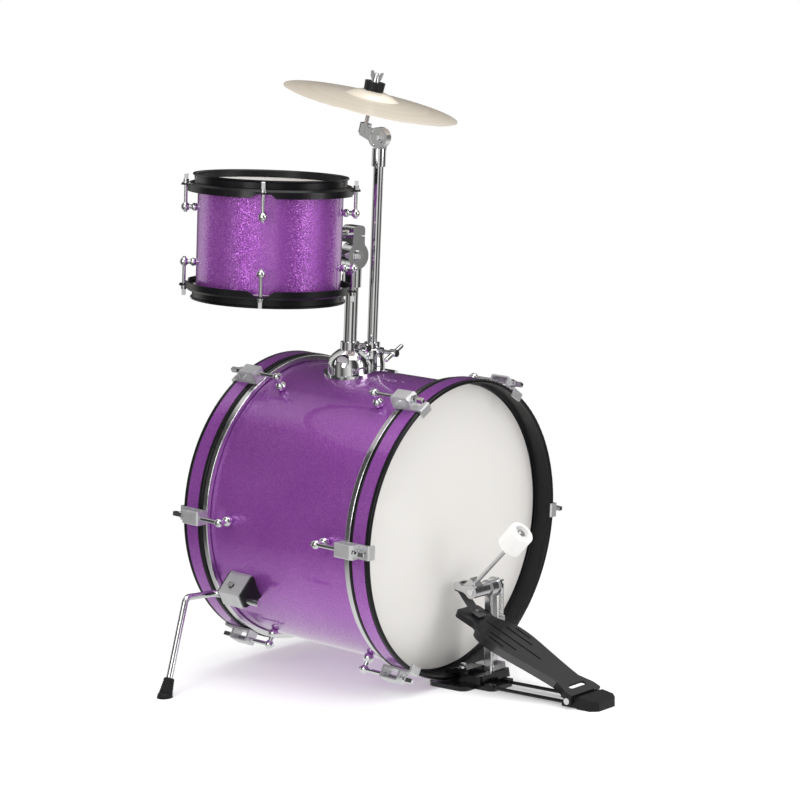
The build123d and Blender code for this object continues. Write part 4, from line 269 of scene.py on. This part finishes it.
wear(
    chrome,
    "holder_base tom_tube cymbal_tube tilter_socket tilter_arm tom_bracket cymbal_tilter_socket"
    " cymbal_tilter_arm tom_clamp_bolt cymbal_clamp_bolt cymbal_wing_nut".split(),
)
wear(
    turned_chrome,
    "bass_lugs bass_tension_rods tom_lugs tom_tension_rods tilter_bolt cymbal_tilter_bolt"
    " spur_lock_screws pedal_clamp_screw heel_pin strap_bolt pedal_axle beater_nut holder_bolts"
    " bass_lug_screws tom_lug_screws".split(),
)
wear(rolled_steel, ["bass_flesh_hoops"])
wear(satin_rod, ["left_spur_rod", "right_spur_rod", "beater_shaft"])
wear(silver_paint, ["bass_claws", "spur_brackets"])
wear(zinc, ["pedal_post", "pedal_cam"])

# %% [markdown]
# ## Threads
#
# The rod that carries the cymbal is threaded. Its thread is too fine to be worth modelling, so a
# wave along the rod drives the bump instead. A Mapping node undoes the rod's lean first, so that
# the wave runs along the metal, not along the room.

# %% Threaded rod
spin = joints["cymbal_spin"]
rod_axis = Vector(spin["axis"]).normalized()
rod_turn = rod_axis.to_track_quat("Z", "Y").to_euler()


def along_rod(finish):
    """The object's coordinates, centred on the cymbal's rod and turned to stand along it."""
    inputs = {"Vector": finish.place, "Location": tuple(spin["pos_m"]), "Rotation": tuple(rod_turn)}
    return finish.node("ShaderNodeMapping", {"vector_type": "TEXTURE"}, inputs)


thread = Finish("threaded_rod_steel", metallic=1.0, roughness=0.2, base_color=(0.7, 0.705, 0.72))
ridges = thread.node(
    "ShaderNodeTexWave",
    {"wave_type": "BANDS", "bands_direction": "Z", "wave_profile": "SIN"},
    {"Vector": along_rod(thread), "Scale": 320.0, "Distortion": 0.0},
)
thread.bump(ridges, 0.8, 0.0004)
thread.set("Roughness", 0.34 - ridges * 0.2)
wear(thread, ["cymbal_rod"])

# %% [markdown]
# ## Cymbal
#
# A cymbal is spun and then turned on a lathe, which leaves rings of fine grooves round its bell.
# The rings are a noise of one number, the distance from the rod, so they stay true circles. They
# move the roughness and a shallow bump. The brass is a pale one, almost the colour of cream.

# %% Lathed brass
brass = Finish("lathed_brass", metallic=0.3, coat_weight=0.5, coat_roughness=0.08)
flat_place = brass.node(
    "ShaderNodeVectorMath", {"operation": "MULTIPLY"}, {0: along_rod(brass), 1: (1, 1, 0)}
)
reach = brass.node("ShaderNodeVectorMath", {"operation": "LENGTH"}, {0: flat_place}, output="Value")
ring = brass.node("ShaderNodeCombineXYZ", None, {"X": reach})
grooves = brass.noise(900.0, 3.0, place=ring, roughness=0.7)
bands = brass.noise(70.0, 2.0, place=ring)
brass.set("Base Color", brass.ramp(bands, (0.3, (0.86, 0.76, 0.62)), (0.7, (0.93, 0.85, 0.73))))
brass.set("Roughness", grooves * 0.14 + 0.17)
brass.bump(grooves, 0.35, 0.00012)
wear(brass, ["cymbal"])

# %% [markdown]
# ## Black pieces
#
# Five blacks are made here, and they must not look like one. The hoops are satin paint over a
# smooth band. The footboard and the connecting rods are powder coated, with a fine grain, and
# the pedal's base and clamp have a glossier coat. The heel, the spur blocks and the cymbal's
# sleeve are moulded, and the feet are rubber, the dullest of all.

# %% Black finishes
def black(name, shade, rough, grain, strength, distance, coat=0.0):
    made = Finish(name, coat_weight=coat, coat_roughness=0.12, specular_ior_level=0.22)
    speckle = made.noise(grain, 2.0)
    lighter = tuple(part * 1.7 for part in shade)
    made.set("Base Color", made.ramp(speckle, (0.35, shade), (0.75, lighter)))
    made.set("Roughness", made.noise(40.0, 3.0) * 0.14 + (rough - 0.07))
    made.bump(speckle, strength, distance)
    return made


hoop_paint = black("satin_hoop_paint", (0.004, 0.004, 0.005), 0.30, 300.0, 0.06, 0.0001, coat=0.12)
powder_coat = black("powder_coat", (0.006, 0.006, 0.007), 0.34, 900.0, 0.2, 0.0002, coat=0.25)
moulding = black("moulded_black", (0.008, 0.008, 0.009), 0.45, 700.0, 0.2, 0.0002)
rubber = black("foot_rubber", (0.010, 0.010, 0.010), 0.62, 500.0, 0.25, 0.0002)
base_coat = black("glossy_base_coat", (0.004, 0.004, 0.005), 0.26, 500.0, 0.12, 0.0001, coat=0.3)
wear(hoop_paint, ["batter_hoop", "front_hoop", "tom_top_hoop", "tom_bottom_hoop"])
wear(powder_coat, ["footboard", "pedal_connecting_rods"])
wear(moulding, ["heel_plate", "spur_bracket_pads", "cymbal_upper_sleeve"])
wear(base_coat, ["pedal_base", "hoop_clamp_jaw"])
wear(rubber, ["left_spur_foot", "right_spur_foot"])

# %% [markdown]
# ## Felt
#
# Felt is pressed wool, with no weave: short fibres lie every way. A fine noise of several layers
# gives the matted surface, and a soft sheen catches the light at its edges.

# %% Felts
def felt(name, dark, light, sheen):
    made = Finish(name, roughness=0.92, sheen_weight=sheen, sheen_roughness=0.5)
    fibres = made.noise(700.0, 5.0, roughness=0.7)
    made.set("Base Color", made.ramp(fibres, (0.3, dark), (0.7, light)))
    made.bump(fibres, 0.5, 0.0006)
    return made


tan_felt = felt("tan_felt", (0.36, 0.26, 0.16), (0.52, 0.40, 0.27), 0.4)
white_felt = felt("white_beater_felt", (0.80, 0.79, 0.77), (0.90, 0.89, 0.875), 0.25)
wear(tan_felt, ["cymbal_lower_felt"])
wear(white_felt, ["beater_head"])

# %% [markdown]
# ## New pieces
#
# Some soft or fine pieces are made afresh: the pedal's coil spring, the two ribbed rubber feet
# and the woven strap. The spring and the feet start as a few points, the strap as a copy of the
# frame's own strip, and operators do the rest. Every piece is finished in the same way: its mesh
# becomes an object at the origin, and it is tied to the body that it moves with, when it is given
# one.

# %% Finish a piece
MERGE = 1e-6


def whole(mesh):
    """Everything in a mesh, as the operators that cut it want it."""
    return mesh.verts[:] + mesh.edges[:] + mesh.faces[:]


def finish_piece(mesh, name, finish, body, stands_for, smooth=True):
    bmesh.ops.remove_doubles(mesh, verts=mesh.verts, dist=MERGE)
    bmesh.ops.recalc_face_normals(mesh, faces=mesh.faces)
    data = bpy.data.meshes.new(name)
    mesh.to_mesh(data)
    mesh.free()
    for face in data.polygons:
        face.use_smooth = smooth
    piece = bpy.data.objects.new(name, data)
    bpy.context.scene.collection.objects.link(piece)
    data.materials.append(finish.material)
    if body:
        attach(piece, body)
    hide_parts(stands_for)
    print(name, "has", len(data.polygons), "faces")
    return piece


# %% [markdown]
# ### Coil spring
#
# The spring pulls the beater back. A helix is a circle of wire that turns round an axis while it
# climbs, and `spin` does just that when it is given a step along the axis as well as an angle.

# %% Coil spring
spring_low, spring_high = [Vector(corner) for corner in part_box("pedal_spring")]
spring_middle = (spring_low + spring_high) / 2
spring_radius = (spring_high.x - spring_low.x) / 2
wire = 0.00085
end_gap = 0.0001
turns = 20
steps_per_turn = 16
climb = (spring_high.z - spring_low.z - 2 * wire - 2 * end_gap) / (turns * steps_per_turn)
coil = bmesh.new()
bmesh.ops.create_circle(coil, segments=8, radius=wire)
start_x = spring_middle.x + spring_radius - wire
start = Vector((start_x, spring_middle.y, spring_low.z + wire + end_gap))
bmesh.ops.rotate(coil, verts=coil.verts, cent=(0, 0, 0), matrix=Matrix.Rotation(pi / 2, 3, "X"))
bmesh.ops.translate(coil, verts=coil.verts, vec=start)
bmesh.ops.spin(
    coil,
    geom=coil.verts[:] + coil.edges[:],
    cent=spring_middle,
    axis=(0, 0, 1),
    dvec=(0, 0, climb),
    angle=2 * pi * turns,
    steps=turns * steps_per_turn,
)
bmesh.ops.holes_fill(coil, edges=coil.edges, sides=8)
finish_piece(coil, "coil_spring", satin_rod, "bass_drum", "pedal_spring")

# %% [markdown]
# ### Ribbed feet
#
# A rubber foot is turned: one outline, spun round the leg. Its ribs are steps in that outline.
# The foot meets the floor at a slant, so its lower end is cut off flat with `bisect_plane`, and
# the cut is closed again.

# %% Ribbed feet
RIBS = 6
NECK_R = 0.0073
FLARE = 0.0030
GROOVE = 0.0006
PLAIN_END = 0.006


def ribbed_foot(side, node, body):
    low, high = [Vector(corner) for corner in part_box(node)]
    copy = bmesh.new()
    copy.from_mesh(frame["nodes"][node].data)
    bmesh.ops.remove_doubles(copy, verts=copy.verts, dist=MERGE)
    rims = {}
    for edge in copy.edges:
        if len(edge.link_faces) == 2 and edge.calc_face_angle(0.0) > 0.9:
            for vert in edge.verts:
                rims[vert.index] = vert.co.copy()
    top = [point for point in rims.values() if point.z > low.z + 0.7 * (high.z - low.z)]
    top_middle = sum(top, Vector()) / len(top)
    floor_points = [vert.co.copy() for vert in copy.verts if vert.co.z < low.z + 0.0002]
    floor_middle = sum(floor_points, Vector()) / len(floor_points)
    copy.free()
    along = (top_middle - floor_middle).normalized()
    length = (top_middle - floor_middle).length
    outline = [(0.0052, length), (0.0066, length), (NECK_R, length - 0.0006)]
    pitch = (length - PLAIN_END) / RIBS
    for rib in range(RIBS):
        top_of_rib = length - 0.002 - rib * (length - PLAIN_END) / RIBS
        rim = NECK_R + FLARE * (length - top_of_rib) / length
        outline.append((rim, top_of_rib))
        outline.append((rim + 0.0002, top_of_rib - 0.6 * pitch))
        outline.append((rim - GROOVE, top_of_rib - 0.68 * pitch))
        outline.append((rim - GROOVE, top_of_rib - 0.92 * pitch))
    outline.append((0.0106, 0.004))
    outline.append((0.0112, -0.009))
    foot = bmesh.new()
    points = [foot.verts.new((radius, 0, height)) for radius, height in outline]
    for first, second in zip(points, points[1:]):
        foot.edges.new((first, second))
    bmesh.ops.spin(
        foot,
        geom=foot.verts[:] + foot.edges[:],
        cent=(0, 0, 0),
        axis=(0, 0, 1),
        angle=2 * pi,
        steps=40,
        use_merge=True,
    )
    turn = along.to_track_quat("Z", "Y").to_matrix().to_4x4()
    bmesh.ops.transform(foot, matrix=Matrix.Translation(floor_middle) @ turn, verts=foot.verts)
    bmesh.ops.bisect_plane(
        foot,
        geom=whole(foot),
        dist=MERGE,
        plane_co=(0, 0, low.z),
        plane_no=(0, 0, -1),
        clear_outer=True,
    )
    bmesh.ops.holes_fill(foot, edges=foot.edges)
    return finish_piece(foot, f"{side}_ribbed_foot", rubber, body, node)


ribbed_foot("left", "left_spur_foot", "left_spur")
ribbed_foot("right", "right_spur_foot", "right_spur")

# %% [markdown]
# ### Woven strap
#
# The strap that pulls the cam is black webbing. The frame's own strip already bends where the
# real one does, so a copy of it is merged, and the weave is a bump: two waves that cross. Real
# webbing bends twice as the pedal goes down, at its bolt and under the cam. So the long run is
# left with no body, and the end under the cam is cut off as a piece of its own that turns with the
# cam.

# %% Woven strap
webbing = Finish("black_webbing", roughness=0.7, sheen_weight=0.3, base_color=(0.016, 0.016, 0.018))
threads = {"Vector": webbing.place, "Scale": 160.0, "Distortion": 0.3}
across = webbing.node("ShaderNodeTexWave", {"bands_direction": "X"}, threads)
lengthwise = webbing.node("ShaderNodeTexWave", {"bands_direction": "Z"}, threads)
weave = across * lengthwise
# The weave's gaps are darker than its threads: painted shade in the gaps between the threads.
SHADED_GAP_BLACK = (0.010, 0.010, 0.011)
THREAD_BLACK = (0.034, 0.034, 0.038)
webbing.set("Base Color", webbing.ramp(weave, (0.1, SHADED_GAP_BLACK), (0.9, THREAD_BLACK)))
webbing.bump(weave, 0.7, 0.0005)

strap_foot = Vector(joints["strap_lean"]["pos_m"])
axle = Vector(joints["beater_swing"]["pos_m"])
GRIP_FROM_AXLE = Vector((0, 0.0245, -0.0022))
grip = axle + GRIP_FROM_AXLE
pull = (grip - strap_foot).normalized()

# Where the strap bends at its bolt it is cut across at close steps, so that it can curve.
BEND_CUTS = 9
CUT_PITCH = 0.0007
CUTS_START = 0.0028
CUT_MERGE = 1e-7


def webbing_part(name, body, below):
    """The strip below the cam's grip, or the end beyond it, as its own piece."""
    strip = bmesh.new()
    strip.from_mesh(frame["nodes"]["pedal_strap"].data)
    bmesh.ops.remove_doubles(strip, verts=strip.verts, dist=MERGE)
    bmesh.ops.dissolve_limit(strip, angle_limit=radians(1), verts=strip.verts, edges=strip.edges)
    for step in range(1, BEND_CUTS + 1):
        cut = strap_foot + pull * (step * CUT_PITCH - CUTS_START)
        bmesh.ops.bisect_plane(
            strip, geom=whole(strip), dist=CUT_MERGE, plane_co=cut, plane_no=pull
        )
    bmesh.ops.bisect_plane(
        strip,
        geom=whole(strip),
        dist=CUT_MERGE,
        plane_co=grip,
        plane_no=pull,
        clear_outer=below,
        clear_inner=not below,
    )
    bmesh.ops.holes_fill(strip, edges=strip.edges)
    bmesh.ops.triangulate(strip, faces=strip.faces)
    return finish_piece(strip, name, webbing, body, "pedal_strap", smooth=False)


strap_run = webbing_part("webbing_strap", None, True)
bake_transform(strap_run)
webbing_part("webbing_strap_end", "rotor", False)

# %% [markdown]
# ## Floor, light and camera
#
# Light comes from one broad soft box overhead and one on each side. Chrome shows only what is
# round it, so mirror reflections see a room with dark gaps between bright panels, and the eye
# does not.

# %% White floor
ground = bmesh.new()
bmesh.ops.create_grid(ground, x_segments=8, y_segments=8, size=30.0)
ground_data = bpy.data.meshes.new("white_floor")
ground.to_mesh(ground_data)
ground.free()
ground_object = bpy.data.objects.new("white_floor", ground_data)
bpy.context.scene.collection.objects.link(ground_object)
paper = Finish("white_paper", roughness=1.0, specular_ior_level=0.0, emission_strength=1.0)
far = paper.node("ShaderNodeVectorMath", {"operation": "LENGTH"}, {0: paper.place}, output="Value")
FADE_PER_METRE = 0.2
far = (far * FADE_PER_METRE).clamp()
paper.set("Base Color", paper.ramp(far, (0.08, (0.72, 0.72, 0.72)), (0.22, (0.0, 0.0, 0.0))))
paper.set("Emission Color", paper.ramp(far, (0.08, (0.3, 0.3, 0.3)), (0.22, (1.0, 1.0, 1.0))))

PANELS = [
    (0.00, 0.05), (0.05, 0.50), (0.12, 0.95), (0.16, 0.10), (0.23, 0.03),
    (0.27, 0.75), (0.33, 0.40), (0.37, 0.03), (0.45, 0.06), (0.49, 0.90),
    (0.55, 0.60), (0.59, 0.04), (0.68, 0.08), (0.72, 0.60), (0.78, 0.90),
    (0.82, 0.04), (0.91, 0.07), (0.95, 0.45), (1.00, 0.05),
]
panel_stops = [(position, (shade, shade * 0.985, shade * 0.95)) for position, shade in PANELS]
azimuth = paper.node(
    "ShaderNodeTexGradient", {"gradient_type": "RADIAL"}, {"Vector": paper.place}, output="Fac"
)
room = paper.ramp(azimuth, *panel_stops)
close = paper.ramp(far, (0.05, (1.0, 1.0, 1.0)), (0.16, (0.0, 0.0, 0.0)))
# A Mix node set to colours takes them at its inputs 6 and 7, and gives its result at output 2.
mixed = paper.node(
    "ShaderNodeMix", {"data_type": "RGBA"}, {0: close, 6: room, 7: (0.8, 0.8, 0.79)}, output=2
)
glow = paper.node("ShaderNodeEmission", None, {"Color": mixed, "Strength": 1.0})
by_mirror = paper.node("ShaderNodeLightPath", output="Is Glossy Ray")
plain = Value(paper, paper.surface.outputs[0])
both = paper.node("ShaderNodeMixShader", None, {0: by_mirror, 1: plain, 2: glow})
paper.tree.links.new(both.socket, paper.tree.nodes["Material Output"].inputs["Surface"])
ground_data.materials.append(paper.material)

# %% [markdown]
# ### The room
#
# The world is three rooms in one. The eye sees plain white, mirror reflections see the panels,
# and everything else is lit by a soft sky that is a little darker below.

# %% World
world = bpy.data.worlds.new("studio")
bpy.context.scene.world = world
world.use_nodes = True
sky = world.node_tree
sky.nodes.clear()
direction = sky.nodes.new("ShaderNodeTexCoord")
split = sky.nodes.new("ShaderNodeSeparateXYZ")
sky.links.new(direction.outputs["Generated"], split.inputs[0])
lift = sky.nodes.new("ShaderNodeMath")
lift.operation = "MULTIPLY_ADD"
lift.inputs[1].default_value = 0.5
lift.inputs[2].default_value = 0.5
sky.links.new(split.outputs["Z"], lift.inputs[0])
height_ramp = sky.nodes.new("ShaderNodeValToRGB")
height_ramp.color_ramp.elements[0].position = 0.30
height_ramp.color_ramp.elements[0].color = (0.55, 0.55, 0.56, 1)
height_ramp.color_ramp.elements[1].position = 0.75
height_ramp.color_ramp.elements[1].color = (1.0, 1.0, 1.0, 1)
sky.links.new(lift.outputs[0], height_ramp.inputs[0])
around = sky.nodes.new("ShaderNodeTexGradient")
around.gradient_type = "RADIAL"
sky.links.new(direction.outputs["Generated"], around.inputs[0])
panels = sky.nodes.new("ShaderNodeValToRGB")
while len(panels.color_ramp.elements) < len(panel_stops):
    panels.color_ramp.elements.new(1.0)
for element, (position, colour) in zip(panels.color_ramp.elements, panel_stops):
    element.position = position
    element.color = (*colour, 1)
sky.links.new(around.outputs[1], panels.inputs[0])


def background(colour_socket, strength):
    made = sky.nodes.new("ShaderNodeBackground")
    made.inputs["Strength"].default_value = strength
    if colour_socket:
        sky.links.new(colour_socket, made.inputs["Color"])
    else:
        made.inputs["Color"].default_value = (1, 1, 1, 1)
    return made


def choose(by, first, second):
    made = sky.nodes.new("ShaderNodeMixShader")
    sky.links.new(by, made.inputs[0])
    sky.links.new(first.outputs[0], made.inputs[1])
    sky.links.new(second.outputs[0], made.inputs[2])
    return made


ray = sky.nodes.new("ShaderNodeLightPath")
soft = background(height_ramp.outputs[0], 0.8)
mirrored = background(panels.outputs[0], 0.95)
seen = background(None, 1.0)
lit = choose(ray.outputs["Is Glossy Ray"], soft, mirrored)
shown = choose(ray.outputs["Is Camera Ray"], lit, seen)
out = sky.nodes.new("ShaderNodeOutputWorld")
sky.links.new(shown.outputs[0], out.inputs["Surface"])
print("the mirror sees", len(panel_stops), "steps of light and dark")


# %% [markdown]
# ### Soft boxes
#
# Area lights stand in for a studio's soft boxes. A large one gives a soft shadow, and each is
# turned to face its target by tracking its own -Z axis to it.

# %% Soft boxes
def soft_box(name, place, target, width, height, power):
    light = bpy.data.lights.new(name, "AREA")
    light.shape = "RECTANGLE"
    light.size = width
    light.size_y = height
    light.energy = power
    lamp = bpy.data.objects.new(name, light)
    lamp.location = place
    lamp.rotation_euler = (Vector(target) - Vector(place)).to_track_quat("-Z", "Y").to_euler()
    bpy.context.scene.collection.objects.link(lamp)
    print(name, "at", place)


soft_box("overhead", (-0.2, -0.3, 3.0), (0, 0, 0.3), 2.6, 2.6, 55)
soft_box("left_of_camera", (-3.2, -0.4, 1.5), (0, 0, 0.4), 0.9, 2.2, 30)
soft_box("right_of_camera", (0.9, -3.1, 1.4), (0, 0, 0.4), 1.4, 2.2, 28)

# %% [markdown]
# ### Camera
#
# The camera stands to the drummer's left and behind them, a little above the drums. A long lens
# from a few metres away keeps the drums' ends from looking stretched.

# %% Camera
CAMERA_FROM_DRUM = Vector((-2.6289, -2.1754, 0.6123))
LINE_OF_SIGHT = Vector((0.77136, 0.62280, -0.13087))
camera_data = bpy.data.cameras.new("camera")
camera_data.lens = 107.61
camera_data.sensor_width = 36.0
camera = bpy.data.objects.new("camera", camera_data)
camera.location = shell_middle + CAMERA_FROM_DRUM
camera.rotation_euler = LINE_OF_SIGHT.to_track_quat("-Z", "Y").to_euler()
bpy.context.scene.collection.objects.link(camera)
bpy.context.scene.camera = camera
bpy.context.scene.view_settings.view_transform = "Standard"
